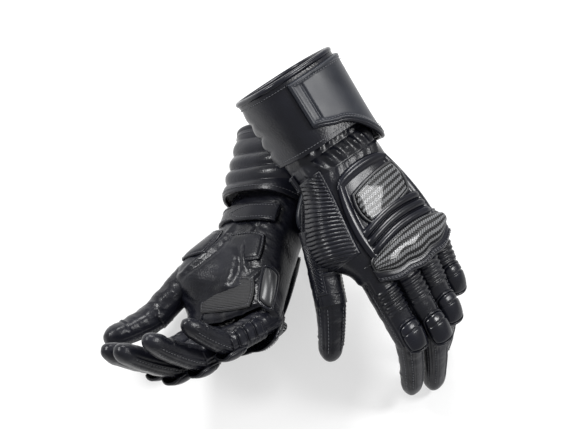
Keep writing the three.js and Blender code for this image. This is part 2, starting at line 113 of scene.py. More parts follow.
def table_top():
    """A level square sheet under the pair, white wherever the camera sees it directly."""
    size = 4.0
    mesh = bpy.data.meshes.new("table_top")
    corners = [(-size, -size, 0), (size, -size, 0), (size, size, 0), (-size, size, 0)]
    mesh.from_pydata(corners, [], [(0, 1, 2, 3)])
    table = bpy.data.objects.new("table_top", mesh)
    bpy.context.scene.collection.objects.link(table)
    material, tree, shader, out = new_material("white_table")
    shader.inputs["Base Color"].default_value = (0.93, 0.93, 0.93, 1)
    shader.inputs["Roughness"].default_value = 0.9
    shader.inputs["Specular IOR Level"].default_value = 0.1
    glow = tree.nodes.new("ShaderNodeEmission")
    path = tree.nodes.new("ShaderNodeLightPath")
    seen = path.outputs["Is Camera Ray"]
    for kind in ("Is Glossy Ray", "Is Transmission Ray"):
        either = tree.nodes.new("ShaderNodeMath")
        either.operation = "MAXIMUM"
        tree.links.new(seen, either.inputs[0])
        tree.links.new(path.outputs[kind], either.inputs[1])
        seen = either.outputs[0]
    share = tree.nodes.new("ShaderNodeMath")
    share.operation = "MULTIPLY"
    share.inputs[1].default_value = 0.55
    tree.links.new(seen, share.inputs[0])
    both = tree.nodes.new("ShaderNodeMixShader")
    tree.links.new(share.outputs[0], both.inputs[0])
    tree.links.new(shader.outputs[0], both.inputs[1])
    tree.links.new(glow.outputs[0], both.inputs[2])
    tree.links.new(both.outputs[0], out.inputs[0])
    mesh.materials.append(material)


table_top()
world = bpy.data.worlds.new("white_room")
bpy.context.scene.world = world
world.use_nodes = True
world.node_tree.nodes["Background"].inputs["Color"].default_value = (1, 1, 1, 1)
world.node_tree.nodes["Background"].inputs["Strength"].default_value = 0.62

# ---- how the two gloves lie ----------------------------------------------------------------------------
# Each glove is made in its own frame, in millimetres: x across the hand with the thumb at -x, y from the
# fingertips to the cuff, z out of the back of the hand. The frames come from the joints. The right glove
# is mirrored in z.
joints = {j["name"]: j for j in frame["joints"]}
FINGERS = {
    "index": {"width": 22.6, "thick": 22.0, "tip": 60.0},
    "middle": {"width": 23.0, "thick": 22.4, "tip": 64.0},
    "ring": {"width": 22.0, "thick": 21.6, "tip": 60.0},
    "little": {"width": 20.0, "thick": 19.6, "tip": 49.0},
}
THUMB = {"width": 25.0, "thick": 24.0, "tip": 50.0}
SQUARE = 2.8


def unit(v):
    """The vector at a length of 1."""
    return np.asarray(v, float) / np.linalg.norm(v)


def turned(axes, degrees):
    """The frame's axes bent about its own x towards the palm: y and z turn by the angle."""
    x, y, z = axes
    c, s = math.cos(math.radians(degrees)), math.sin(math.radians(degrees))
    return np.array([x, c * y + s * z, c * z - s * y])


class Place:
    """A frame on the gloves: where its origin is, in metres, and its three axes as rows."""

    def __init__(self, origin, axes):
        self.origin, self.axes = np.asarray(origin, float), np.asarray(axes, float)

    def out(self, points):
        """Millimetres in this frame to metres in the shared frame."""
        return self.origin + (np.asarray(points, float) / 1000.0) @ self.axes

    def back(self, points):
        """Metres in the shared frame to millimetres in this frame."""
        return ((np.asarray(points, float) - self.origin) @ np.linalg.inv(self.axes)) * 1000.0


def glove_frames(side):
    """The hand's, the cuff's and each stall's frame of one glove."""
    sign = 1.0 if side == "left" else -1.0
    get = lambda text: joints[side + "_" + text]
    x = sign * unit(get("middle_base_bend")["axis"])
    y = sign * unit(get("strap_open")["axis"])
    wrist = get("wrist_bend")["pos_m"]
    glove = {"side": side, "sign": sign, "hand": Place(wrist, [x, y, sign * np.cross(x, y)])}
    cuff_y = -sign * unit(get("cuff_flap_open")["axis"])
    glove["cuff"] = Place(wrist, [x, cuff_y, sign * np.cross(x, cuff_y)])
    tip_bend = {"index": 26, "middle": 28, "ring": 32, "little": 36}
    tip_bend = {name: bend + (3 if side == "left" else -2) for name, bend in tip_bend.items()}
    tip_bend["thumb"] = 16
    for name, bend in tip_bend.items():
        base, tip = get(name + "_base_bend"), get(name + "_tip_bend")
        fx = sign * unit(base["axis"])
        fy = unit(np.subtract(base["pos_m"], tip["pos_m"]))
        axes = np.array([fx, fy, sign * np.cross(fx, fy)])
        glove[name + "_base"] = Place(base["pos_m"], axes)
        glove[name + "_tip"] = Place(tip["pos_m"], turned(axes, bend))
        glove[name + "_length"] = 1000.0 * np.linalg.norm(np.subtract(base["pos_m"], tip["pos_m"]))
    return glove


gloves = [glove_frames("left"), glove_frames("right")]

# ---- leather -------------------------------------------------------------------------------------------
# Black goat leather, semi-gloss, with pebbled grain; the palm is shinier and more deeply grained than the
# back. It is dyed through, waxed, and a little paler and rougher where it is handled.


def grain_nodes(tree, shader, grain, depth, colour, paler, roughness, spread):
    """Pebbles from a voronoi of the given size in metres, broken up by noise, drive bump, colour and
    roughness."""
    make, link = tree.nodes.new, tree.links.new
    where = make("ShaderNodeTexCoord")
    pebble = make("ShaderNodeTexVoronoi")
    pebble.feature = "SMOOTH_F1"
    pebble.inputs["Scale"].default_value = 1.0 / grain
    pebble.inputs["Smoothness"].default_value = 0.6
    pores = make("ShaderNodeTexNoise")
    pores.inputs["Scale"].default_value = 1.6 / grain
    pores.inputs["Detail"].default_value = 4.0
    wear = make("ShaderNodeTexNoise")
    wear.inputs["Scale"].default_value = 38.0
    wear.inputs["Detail"].default_value = 5.0
    for texture in (pebble, pores, wear):
        link(where.outputs["Object"], texture.inputs["Vector"])
    both = make("ShaderNodeMath")
    both.operation = "MULTIPLY_ADD"
    both.inputs[1].default_value = 0.5
    link(pores.outputs["Fac"], both.inputs[0])
    link(pebble.outputs["Distance"], both.inputs[2])
    bump = make("ShaderNodeBump")
    bump.inputs["Strength"].default_value = 0.55
    bump.inputs["Distance"].default_value = depth
    bump.invert = True
    link(both.outputs[0], bump.inputs["Height"])
    link(bump.outputs[0], shader.inputs["Normal"])
    tone = make("ShaderNodeValToRGB")
    tone.color_ramp.elements[0].position, tone.color_ramp.elements[1].position = 0.35, 0.72
    tone.color_ramp.elements[0].color = (*colour, 1)
    tone.color_ramp.elements[1].color = (*paler, 1)
    link(wear.outputs["Fac"], tone.inputs["Fac"])
    link(tone.outputs["Color"], shader.inputs["Base Color"])
    gloss = make("ShaderNodeMapRange")
    gloss.inputs["From Min"].default_value, gloss.inputs["From Max"].default_value = 0.3, 0.7
    gloss.inputs["To Min"].default_value = roughness - spread
    gloss.inputs["To Max"].default_value = roughness + spread
    link(wear.outputs["Fac"], gloss.inputs["Value"])
    link(gloss.outputs[0], shader.inputs["Roughness"])


def leather(name, colour, paler, roughness, grain, depth, coat):
    """Grained leather with a thin wax coat."""
    material, tree, shader, out = new_material(name)
    grain_nodes(tree, shader, grain, depth, colour, paler, roughness, 0.07)
    shader.inputs["Coat Weight"].default_value = coat
    shader.inputs["Coat Roughness"].default_value = 0.35
    shader.inputs["Specular IOR Level"].default_value = 0.2
    return material


back_leather = leather("back_leather", (0.0028, 0.0031, 0.0056), (0.006, 0.0066, 0.0115),
                       0.28, 0.0014, 0.00016, 0.1)
palm_leather = leather("palm_leather", (0.0028, 0.0031, 0.0054), (0.0065, 0.007, 0.0115),
                       0.30, 0.0016, 0.00028, 0.12)
smooth_leather = leather("smooth_leather", (0.003, 0.0034, 0.006), (0.006, 0.0066, 0.0118),
                         0.23, 0.0009, 0.00005, 0.12)
overlay_leather = leather("overlay_leather", (0.010, 0.0115, 0.016), (0.016, 0.018, 0.024),
                          0.38, 0.0007, 0.00003, 0.1)


def soft_noise(points, size, seed):
    """Smooth undulation between about -1 and 1: a sum of sines in fixed random directions, each bent by
    the last."""
    rng = np.random.default_rng(seed)
    total = np.zeros(points.shape[:-1])
    for k in range(7):
        way = rng.normal(size=3)
        way /= np.linalg.norm(way)
        wave = (points @ way) * (2 * math.pi / size) * (0.7 + 0.25 * k)
        total += np.sin(wave + rng.uniform(0, 6.28) + 0.9 * total) / (1.0 + 0.45 * k)
    return total / 2.6


def creases(points, size, seed):
    """Sharp-bottomed folds: one minus the size of a soft undulation, so that its zero lines become
    ridges."""
    return 1.0 - np.abs(soft_noise(points, size, seed))


def hump(x, middle, width):
    """A bell of height 1 at middle."""
    return np.exp(-(((x - middle) / width) ** 2))


def step(x, low, high):
    """0 below low, 1 above high, smooth between."""
    t = np.clip((x - low) / (high - low), 0, 1)
    return t * t * (3 - 2 * t)


def rounded(half, high, low, angle, out, square=SQUARE):
    """A rounded section: powers of the cosine and sine of the angle, over its half width and its two
    heights."""
    c, s = np.cos(np.radians(angle)), np.sin(np.radians(angle))
    tall = np.where(s > 0, high, low)
    x = (half + out) * np.sign(c) * np.abs(c) ** (2 / square)
    return x, (tall + out) * np.sign(s) * np.abs(s) ** (2 / square)


def mesh_object(name, points, faces, uvs, material):
    """A smooth-shaded mesh with its uv map in metres and its material."""
    mesh = bpy.data.meshes.new(name)
    mesh.from_pydata(points, [], faces)
    layer = mesh.uv_layers.new(name="surface")
    loops = np.zeros(len(mesh.loops), np.int64)
    mesh.loops.foreach_get("vertex_index", loops)
    layer.data.foreach_set("uv", uvs[loops].astype(np.float32).ravel())
    mesh.polygons.foreach_set("use_smooth", np.ones(len(mesh.polygons), bool))
    mesh.materials.append(material)
    thing = bpy.data.objects.new(name, mesh)
    bpy.context.scene.collection.objects.link(thing)
    return thing


def signed_volume(points, quads):
    """Six times the volume that the quads enclose, positive when they face outwards."""
    a, b, c, d = (points[quads[:, k]] for k in range(4))
    return np.sum(a * np.cross(b, c)) + np.sum(a * np.cross(c, d))


def loft(name, place, rows, material, wrap_rows=False):
    """A closed surface through rows of points, each row a ring: row after row of quads, closed round the
    rings. wrap_rows joins the last ring to the first; else each end ring is drawn together into a middle
    point."""
    local = np.asarray(rows, float)
    n, m, _ = local.shape
    points = place.out(local.reshape(-1, 3))
    i = np.arange(n if wrap_rows else n - 1)[:, None]
    j = np.arange(m)[None, :]
    k, l = (i + 1) % n, (j + 1) % m
    quads = np.stack([i * m + j, i * m + l, k * m + l, k * m + j], -1).reshape(-1, 4)
    around = np.linalg.norm(np.diff(local, axis=1, append=local[:, :1]), axis=2).mean(0)
    along = np.linalg.norm(np.diff(local, axis=0, append=local[:1]), axis=2).mean(1)
    u = np.concatenate([[0], np.cumsum(along)[:-1]])
    v = np.concatenate([[0], np.cumsum(around)[:-1]])
    uvs = np.stack(np.broadcast_arrays(u[:, None], v[None, :]), -1).reshape(-1, 2) / 1000.0
    flip = signed_volume(points - points.mean(0), quads) < 0
    faces = (quads[:, ::-1] if flip else quads).tolist()
    if not wrap_rows:
        ring = np.arange(m)
        ahead = (ring + 1) % m
        for start, fan in ((0, (ahead, ring)), ((n - 1) * m, (ring, ahead))):
            points = np.vstack([points, points[start:start + m].mean(0)])
            uvs = np.vstack([uvs, uvs[start]])
            first, second = fan[::-1] if flip else fan
            hub = np.full(m, len(points) - 1)
            faces += np.stack([first + start, second + start, hub], -1).tolist()
    return mesh_object(name, points, faces, uvs, material)


def sheet_between(name, place, outer, inner, material):
    """A closed thick sheet: an outer grid of points, an inner one, and the strips that join their
    borders."""
    rows = np.concatenate([outer, inner[:, ::-1]], axis=1)
    n, m, _ = rows.shape
    half = m // 2
    points = place.out(rows.reshape(-1, 3))
    i, j = np.arange(n - 1)[:, None], np.arange(m)[None, :]
    l = (j + 1) % m
    quads = np.stack([i * m + j, i * m + l, (i + 1) * m + l, (i + 1) * m + j], -1).reshape(-1, 4)
    k = np.arange(half - 1)
    near = np.stack([k, m - 1 - k, m - 2 - k, k + 1], -1)
    far = near[:, ::-1] + (n - 1) * m
    quads = np.concatenate([quads, near, far])
    if signed_volume(points - points.mean(0), quads) < 0:
        quads = quads[:, ::-1]
    across = np.linalg.norm(np.diff(outer, axis=1, prepend=outer[:, :1]), axis=2).cumsum(1).mean(0)
    down = np.linalg.norm(np.diff(outer, axis=0, prepend=outer[:1]), axis=2).cumsum(0).mean(1)
    v = np.concatenate([across, across[::-1]])
    uvs = np.stack(np.broadcast_arrays(down[:, None], v[None, :]), -1).reshape(-1, 2) / 1000.0
    return mesh_object(name, points, quads.tolist(), uvs, material)


def steps(low, high, count):
    """Even values from low to high."""
    return np.linspace(low, high, count)


def ring_grid(reaches, count):
    """Reach down the rows and angle round the columns."""
    return np.meshgrid(reaches, np.arange(count) * 360.0 / count, indexing="ij")


# ---- the hand's leather --------------------------------------------------------------------------------
# One sewn sleeve of leather and lining from inside the cuff to the knuckles. At the wrist three rows of
# elastic thread gather it into puckers; over the knuckles it swells a little over each finger, and the
# palm creases.
HAND = {"length": 104.0, "wrist": 37.0, "wrist_top": 25.0, "wrist_bottom": 24.0, "bulge": 3.0, "arch": 3.0}
WALL, CLEAR, FINGER_GAP = 2.2, 0.5, 0.9
fingers_width = sum(f["width"] for f in FINGERS.values()) + 3 * FINGER_GAP
KNUCKLE_HALF = fingers_width / 2 + CLEAR + WALL
KNUCKLE_TOP = HAND["arch"] + FINGERS["middle"]["thick"] / 2 + CLEAR + WALL
KNUCKLE_BOTTOM = FINGERS["middle"]["thick"] / 2 + CLEAR + WALL
edge = -fingers_width / 2
for finger in FINGERS.values():
    finger["x"] = edge + finger["width"] / 2
    edge += finger["width"] + FINGER_GAP


def knuckle_line(x):
    """Reach of the knuckles at x: a shallow arc, furthest at the middle finger."""
    return HAND["length"] - 0.005 * (x - FINGERS["middle"]["x"]) ** 2


def hand_point(reach, angle, out):
    """The hand's section at a reach from the wrist: its half width eases from wrist to knuckles, its
    heights run straight, and the palm swells between them."""
    t = np.clip(reach / HAND["length"], 0, 1.2)
    grow = step(t, 0, 1)
    half = HAND["wrist"] + (KNUCKLE_HALF - HAND["wrist"]) * grow
    top = HAND["wrist_top"] + (KNUCKLE_TOP - HAND["wrist_top"]) * np.clip(t, 0, 1)
    low = HAND["wrist_bottom"] + (KNUCKLE_BOTTOM - HAND["wrist_bottom"]) * np.clip(t, 0, 1)
    low = low + HAND["bulge"] * np.sin(math.pi * np.clip(t, 0, 1))
    x, z = rounded(half, top, low, angle, out)
    return np.stack(np.broadcast_arrays(x, -reach, z), -1)


def thumb_bulge(reach, angle):
    """How far the ball of the thumb swells out of the side: up from the wrist, down again before the
    first finger, most a little below the side's middle."""
    off = (angle - 201 + 180) % 360 - 180
    wide = np.where(off < 0, 44.0, 62.0)
    return 20.0 * step(reach, 2, 54) * step(-reach, -92, -60) * np.exp(-np.abs(off / wide) ** 2.6)


def hand_skin(reach, angle, out):
    """The hand's surface with the ball of the thumb on it."""
    return hand_point(reach, angle, out + thumb_bulge(reach, angle))


def knuckle_valleys(points, reach):
    """Furrows between the fingers, deeper towards the knuckles."""
    total = 0.0
    names = list(FINGERS.values())
    for a, b in zip(names, names[1:]):
        total = total + hump(points[..., 0], (a["x"] + a["width"] / 2 + b["x"] - b["width"] / 2) / 2, 3.2)
    return -2.4 * total * step(reach, 74, 104)


PALM_FOLDS = (
    ((6, -100), (66, -138), 10, 2.2),
    ((10, -72), (62, -66), -8, 1.7),
    ((20, -112), (84, -96), 14, 1.6),
    ((52, -44), (74, -100), 6, 1.4),
    ((60, -150), (84, -122), -6, 1.2),
)


def palm_fold(reach, angle, start, end, bow):
    """A soft fold with a furrow beside it, along a bowed line between two points of reach and angle (0.75
    mm to a degree), drawn to nothing at its ends."""
    u, v = reach, ((angle + 180) % 360 - 180) * 0.75
    (u0, a0), (u1, a1) = start, end
    v0, v1 = a0 * 0.75, a1 * 0.75
    length = math.hypot(u1 - u0, v1 - v0)
    along = ((u - u0) * (u1 - u0) + (v - v0) * (v1 - v0)) / length**2
    off = ((v - v0) * (u1 - u0) - (u - u0) * (v1 - v0)) / length - bow * 4 * along * (1 - along)
    fade = step(along, -0.05, 0.3) * step(-along, -1.05, -0.7)
    return fade * (hump(off, 0, 2.6) - 0.75 * hump(off, 4.2, 2.2))


def hand_relief(points, reach, angle, seed):
    """Stand-off of the sleeve: gathers at the wrist, furrows at the knuckles, creases on the palm, soft
    waves."""
    back = step(np.sin(np.radians(angle)), 0.15, 0.5)
    palm = step(-np.sin(np.radians(angle)), 0.1, 0.5)
    wrist = hump(reach, -3, 13)
    tall = 15.0
    row = (reach + 22) / tall
    slant = np.where(np.floor(row) % 2 == 0, 1.0, -1.0) * 0.35 * (row % 1 - 0.5) * tall
    pleat = 1 - np.abs(np.sin((points[..., 0] + slant) * math.pi / 9.0))
    relief = wrist * np.abs(np.sin(row * math.pi)) ** 0.6 * (0.4 + back * (0.2 + 3.2 * pleat))
    relief = relief + knuckle_valleys(points, reach) * (0.6 + 0.4 * back)
    heel = np.stack([points[..., 0] * 0.6 + points[..., 1] * 0.5, points[..., 1], points[..., 2]], -1)
    heel_folds = 0.7 * (creases(heel, 34, seed) - 0.75) + 0.45 * (creases(heel, 11, seed + 3) - 0.7)
    relief = relief + palm * heel_folds
    for start, end, bow, tall in PALM_FOLDS:
        relief = relief + 0.75 * tall * palm_fold(reach, angle, start, end, bow)
    return relief + 0.35 * soft_noise(points, 26, seed + 9) - 0.2


def hand_sleeve(glove, seed):
    """Rings from inside the cuff to the knuckle line, the outside down the hand and the inside back."""
    reaches = np.concatenate([steps(-26, 20, 70), steps(20.6, 112, 110)])
    reach, angle = ring_grid(reaches, 200)
    x = hand_point(reach, angle, 0)[..., 0]
    front = knuckle_line(x) + 3 - 7 * step(-np.sin(np.radians(angle)), 0.0, 0.6)
    reach = np.where(reach > 20, 20 + (reach - 20) * (front - 20) / 92.0, reach)
    flat = hand_point(reach, angle, 0)
    relief = hand_relief(flat, reach, angle, seed) - 2.5 * step(-reach, 17, 26)
    roll = 1.8 * step(reach, front - 4, front)
    outer = hand_skin(reach, angle, relief - roll)
    inner = hand_skin(reach, angle, np.minimum(relief, 0) - 2.4)[::-1]
    return np.concatenate([outer, inner])


for glove in gloves:
    side = glove["side"]
    sleeve = loft(side + "_hand_leather", glove["hand"], hand_sleeve(glove, 5), palm_leather, wrap_rows=True)
    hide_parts(side + "_back_shell", side + "_palm_shell", side + "_gathered_wrist")
    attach(sleeve, "hands")

# ---- thread --------------------------------------------------------------------------------------------
# The seams are lock-stitched in waxed grey-black thread: short raised stitches with a gap between them.


def thread_material():
    """Twisted thread: fine noise between two greys."""
    material, tree, shader, out = new_material("waxed_thread")
    where = tree.nodes.new("ShaderNodeTexCoord")
    twist = tree.nodes.new("ShaderNodeTexNoise")
    twist.inputs["Scale"].default_value = 2500.0
    tone = tree.nodes.new("ShaderNodeValToRGB")
    tone.color_ramp.elements[0].color = (0.035, 0.036, 0.042, 1)
    tone.color_ramp.elements[1].color = (0.09, 0.092, 0.105, 1)
    tree.links.new(where.outputs["Object"], twist.inputs["Vector"])
    tree.links.new(twist.outputs["Fac"], tone.inputs["Fac"])
    tree.links.new(tone.outputs["Color"], shader.inputs["Base Color"])
    shader.inputs["Roughness"].default_value = 0.5
    return material


thread = thread_material()
FINE_STITCH = {"pitch": 2.8, "length": 1.9, "radius": 0.28}


def stitches(name, place, paths, pitch=3.0, length=2.1, radius=0.34):
    """Capsules laid along each path at even arc length: six-sided rings over the stitch, ends drawn to a
    point."""
    ring = np.arange(6) * math.pi / 3
    profile = [(-0.5, 0.45), (-0.25, 1.0), (0.25, 1.0), (0.5, 0.45)]
    shape = [(x * length, r * radius * math.cos(a), r * radius * math.sin(a))
             for x, r in profile for a in ring]
    shape = np.array(shape + [(-0.56 * length, 0, 0), (0.56 * length, 0, 0)])
    quads = [(6 * i + j, 6 * i + (j + 1) % 6, 6 * i + 6 + (j + 1) % 6, 6 * i + 6 + j)
             for i in range(3) for j in range(6)]
    ends = [((j + 1) % 6, j, 24) for j in range(6)] + [(18 + j, 18 + (j + 1) % 6, 25) for j in range(6)]
    points, faces = [], []
    for path in paths:
        path = np.asarray(path, float)
        gone = np.concatenate([[0], np.cumsum(np.linalg.norm(np.diff(path, axis=0), axis=1))])
        at = np.arange(pitch / 2, gone[-1], pitch)
        here = np.stack([np.interp(at, gone, path[:, k]) for k in range(3)], -1)
        after = np.stack([np.interp(at + 0.5, gone, path[:, k]) for k in range(3)], -1)
        before = np.stack([np.interp(at - 0.5, gone, path[:, k]) for k in range(3)], -1)
        along = after - before
        along /= np.linalg.norm(along, axis=1, keepdims=True) + 1e-9
        side = np.cross(along, [0.31, 0.17, 0.93])
        side /= np.linalg.norm(side, axis=1, keepdims=True) + 1e-9
        up = np.cross(along, side)
        made = (here[:, None] + shape[None, :, :1] * along[:, None] + shape[None, :, 1:2] * side[:, None]
                + shape[None, :, 2:] * up[:, None])
        for k, block in enumerate(made):
            base = len(points) * len(shape)
            points.append(block)
            faces += [tuple(base + v for v in f) for f in quads + ends]
    flat = place.out(np.concatenate(points))
    uvs = flat[:, :2].copy()
    if glove_sign(place) < 0:
        faces = [f[::-1] for f in faces]
    thing = mesh_object(name, flat, faces, uvs, thread)
    return thing


def glove_sign(place):
    """1 where the frame is right-handed, -1 where it is mirrored."""
    return float(np.sign(np.linalg.det(place.axes)))


# ---- the finger stalls ---------------------------------------------------------------------------------
# Each finger is a leather tube in two lengths, sewn along both sides, over the finger's own hinge lines.
# The back has a ribbed stretch zone at the root; the inside creases where it folds; the tip is a closed,
# pre-curved cap.


def stall_point(half, high, length, taper, curl):
    """A tapering rounded section along a stall, bent downwards evenly by curl degrees over its length."""

    def point(reach, angle, out):
        t = np.clip(reach / length, 0, 1)
        scale = 1 + (taper - 1) * t
        x, z = rounded(half * scale, high * scale, high * scale, angle, out, 2.35)
        bend = np.radians(curl) * t
        drop = -(length / 2) * np.sin(bend) * t
        y = -reach * np.cos(bend / 2) - z * np.sin(bend)
        return np.stack(np.broadcast_arrays(x, y, drop + z * np.cos(bend)), -1)

    return point


def seam_relief(angle, at, width=5.0):
    """A raised seam with a furrow on each side of it, along a line of constant angle."""
    off = (angle - at + 180) % 360 - 180
    furrows = hump(off, width * 1.5, width * 0.6) + hump(off, -width * 1.5, width * 0.6)
    return 0.85 * hump(off, 0, width * 0.55) - 0.55 * furrows


def seams(angle, angles):
    """The sum of a raised seam at each of the angles."""
    return sum(seam_relief(angle, a) for a in angles)


SIDE_SEAMS = (18.0, 162.0)
BACK_SEAMS = (58.0, 122.0)


def base_relief(points, reach, angle, seed):
    """A stall's first length: stretch ribs on the back, folds inside, seams along both sides."""
    back = step(np.sin(np.radians(angle)), 0.35, 0.7)
    palm = step(-np.sin(np.radians(angle)), 0.1, 0.6)
    ribs = 1.7 * np.abs(np.sin((reach - 7) * math.pi / 4.6))
    ribs = ribs * step(reach, 5, 9) * step(-reach, -31, -27) * back
    folds = palm * 0.9 * (creases(points * np.array([0.45, 1, 1]), 15, seed) - 0.62)
    return ribs + folds + seams(angle, SIDE_SEAMS) + 0.3 * soft_noise(points, 17, seed + 4) + 0.5


def tip_relief(points, reach, angle, length, seed):
    """A stall's end: folds at the joint, the fingertip cap's edge inside, and four seams that fade to the
    tip."""
    palm = step(-np.sin(np.radians(angle)), 0.1, 0.6)
    back = step(np.sin(np.radians(angle)), 0.3, 0.7)
    folded = palm * (0.6 + hump(reach, 0, 8)) + back * hump(reach, 9, 9)
    folds = folded * 1.1 * (creases(points * np.array([0.4, 1, 1]), 12, seed) - 0.6)
    cap_line = length * 0.60
    cap = 0.7 * hump(reach, cap_line, 0.9) * palm - 0.5 * hump(reach, cap_line + 2.2, 1.1) * palm
    sewn = seams(angle, SIDE_SEAMS + BACK_SEAMS) * step(-reach, -length * 0.86, -length * 0.7)
    return folds + cap + sewn + 0.25 * soft_noise(points, 14, seed + 2)


def tube_rows(point, relief, reaches, count, wall):
    """An open tube: the outside down its length and the inside back."""
    reach, angle = ring_grid(reaches, count)
    out = relief(point(reach, angle, 0), reach, angle)
    outer, inner = point(reach, angle, out), point(reach, angle, np.minimum(out, 0) - wall)[::-1]
    return np.concatenate([outer, inner])


def closed_tip_rows(point, relief, start, length, count, wall):
    """A tube with a domed end: rings shrink on a quarter circle towards the end's middle, outside then
    inside."""
    dome_height = 13.5
    body = steps(start, length - dome_height, 56)
    dome = np.radians(steps(4, 88, 18))
    layers = []
    for inset in (0.0, wall):
        reaches = np.concatenate([body, length - dome_height + (dome_height - inset) * np.sin(dome)])
        shrink = np.concatenate([np.ones(len(body)), np.cos(dome) ** 0.78])[:, None, None]
        reach, angle = ring_grid(reaches, count)
        out = relief(point(reach, angle, 0), reach, angle) if inset == 0 else np.full_like(reach, -inset)
        ring = point(reach, angle, out)
        top, bottom = (point(reach, np.full_like(angle, at), 0) for at in (90.0, 270.0))
        middle = (top + bottom) / 2
        layers.append(middle + (ring - middle) * shrink)
    return np.concatenate([layers[0][::-1], layers[1]])


def seam_path(point, reaches, angle, out):
    """A line down a stall at one angle."""
    return point(reaches, np.full_like(reaches, angle), out)


def make_stall(glove, name, spec, seed):
    """One finger or the thumb: its two lengths of leather and their rows of stitches."""
    whole, length = glove["side"] + "_" + name, glove[name + "_length"]
    base, tip = glove[name + "_base"], glove[name + "_tip"]
    half, high = spec["width"] / 2, spec["thick"] / 2
    back_start = -16 if name != "thumb" else -9

    def root_folds(points, reach, angle):
        return base_relief(points, reach, angle, seed) - 1.5 * step(-reach, 6, 16)

    def cap_folds(points, reach, angle):
        return tip_relief(points, reach, angle, spec["tip"], seed + 20) - 1.2 * step(-reach, 1, 9)

    root = stall_point(half, high, length, 0.95, 0)
    rows = tube_rows(root, root_folds, steps(back_start, length + 3, 90), 72, 1.7)
    skin = loft(whole + "_root_leather", base, rows, palm_leather, wrap_rows=True)
    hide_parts(whole + "_base_stall")
    end = stall_point(half * 0.95, high * 0.95, spec["tip"], 0.76, 16)
    rows = closed_tip_rows(end, cap_folds, -10, spec["tip"] + 1.0, 72, 1.6)
    cap = loft(whole + "_tip_leather", tip, rows, palm_leather)
    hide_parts(whole + "_tip_stall")
    reaches = steps(8, length - 3, 60)
    sewn = [seam_path(root, reaches, seam + 8, 0.75) for seam in SIDE_SEAMS]
    root_thread = stitches(whole + "_root_thread", base, sewn)
    reaches = steps(3, spec["tip"] * 0.78, 60)
    sewn = [seam_path(end, reaches, seam + 8, 0.25) for seam in SIDE_SEAMS + BACK_SEAMS]
    cap_thread = stitches(whole + "_tip_thread", tip, sewn)
    for piece in (skin, root_thread):
        tuple(base.out((0, 8, 0)))
        tuple(base.out((0, -8, 0)))
        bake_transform(piece)
    for piece in (cap, cap_thread):
        tuple(tip.out((0, 7, 0)))
        tuple(tip.out((0, -7, 0)))
        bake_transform(piece)


for glove in gloves:
    for order, (name, spec) in enumerate(FINGERS.items()):
        make_stall(glove, name, spec, 40 + 7 * order)
    make_stall(glove, "thumb", THUMB, 80)


# ---- sewn-on sheets and rolled edges -------------------------------------------------------------------
# Everything that is laid on the leather is a sheet cut to shape, its border turned down and stitched, or
# a rolled or moulded bead along a line.


def border(distance, radius):
    """A quarter-round edge: 0 at the border, 1 from the given radius inwards."""
    return np.sqrt(1 - (1 - np.clip(distance / radius, 0, 1)) ** 2)


def share_angle(share, square=SQUARE):
    """The angle on the back of a section whose point lies at a share of the half width: -1 thumb side, 1
    other."""
    share = np.clip(share, -1, 1)
    return np.degrees(np.arccos(np.sign(share) * np.abs(share) ** (square / 2)))


def squircle(u, v):
    """Maps the square from -1 to 1 on to a round-cornered oblong."""
    return u * np.sqrt(1 - 0.24 * v**2), v * np.sqrt(1 - 0.24 * u**2)


def outline(count):
    """Points round the border of the square from -1 to 1."""
    t = steps(0, 2 * math.pi, count + 1)[:-1]
    big = np.maximum(np.abs(np.cos(t)), np.abs(np.sin(t)))
    return np.cos(t) / big, np.sin(t) / big


def laid_sheet(name, place, point, where, low, high, count, material):
    """A sheet over p and q from 0 to 1: where(p, q) gives its reach and angle, and it stands between low
    and high(p, q, edge), where edge is the distance to the nearest border in millimetres."""
    p, q = np.meshgrid(steps(0, 1, count[0]), steps(0, 1, count[1]), indexing="ij")
    r, a = where(p, q)
    flat = point(r, a, low)
    down = np.linalg.norm(np.diff(flat, axis=0, prepend=flat[:1]), axis=2).cumsum(0)
    across = np.linalg.norm(np.diff(flat, axis=1, prepend=flat[:, :1]), axis=2).cumsum(1)
    edge = np.minimum(np.minimum(down, down[-1:] - down), np.minimum(across, across[:, -1:] - across))
    tall = high(p, q, edge)
    return sheet_between(name, place, point(r, a, low + tall), point(r, a, low - 0.4), material)


def bead(name, place, line, up, wide, high, material, closed=False, count=10):
    """A rounded bead along a line of points: an oval section, wide along the surface and high along up,
    drawn to nothing at both ends of an open line."""
    line, up = np.asarray(line, float), np.asarray(up, float)
    along = np.roll(line, -1, 0) - np.roll(line, 1, 0) if closed else np.gradient(line, axis=0)
    across = np.cross(along, up)
    across /= np.linalg.norm(across, axis=1, keepdims=True) + 1e-9
    up = up / (np.linalg.norm(up, axis=1, keepdims=True) + 1e-9)
    turn = np.arange(count) * 2 * math.pi / count
    from_end = np.minimum(np.arange(len(line)), np.arange(len(line))[::-1])
    taper = np.ones(len(line)) if closed else border(from_end + 0.15, 3)
    rows = (line[:, None] + (wide * taper)[:, None, None] * np.cos(turn)[None, :, None] * across[:, None]
            + (high * taper)[:, None, None] * np.sin(turn)[None, :, None] * up[:, None])
    return loft(name, place, rows, material, wrap_rows=closed)


def on_surface(point, reach, angle, out):
    """Points on a surface and the directions straight out of it there."""
    here = point(reach, angle, out)
    return here, point(reach, angle, out + 1.0) - here


def put(piece, body, slot, *nodes):
    """The piece rides on a body and stands for its CAD nodes; its finish slot is not used."""
    if nodes:
        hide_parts(*nodes)
    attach(piece, body)
    return piece


# ---- the padded back panel -----------------------------------------------------------------------------
# A smooth leather panel over foam on the back of the hand: a raised border like a frame, and a sunken
# middle that holds the plate and the bellows. Two rows of stitches run round it.
BACK = {"start": 17.0, "end": 90.0, "left": -0.74, "right": 0.80, "border": 8.0}


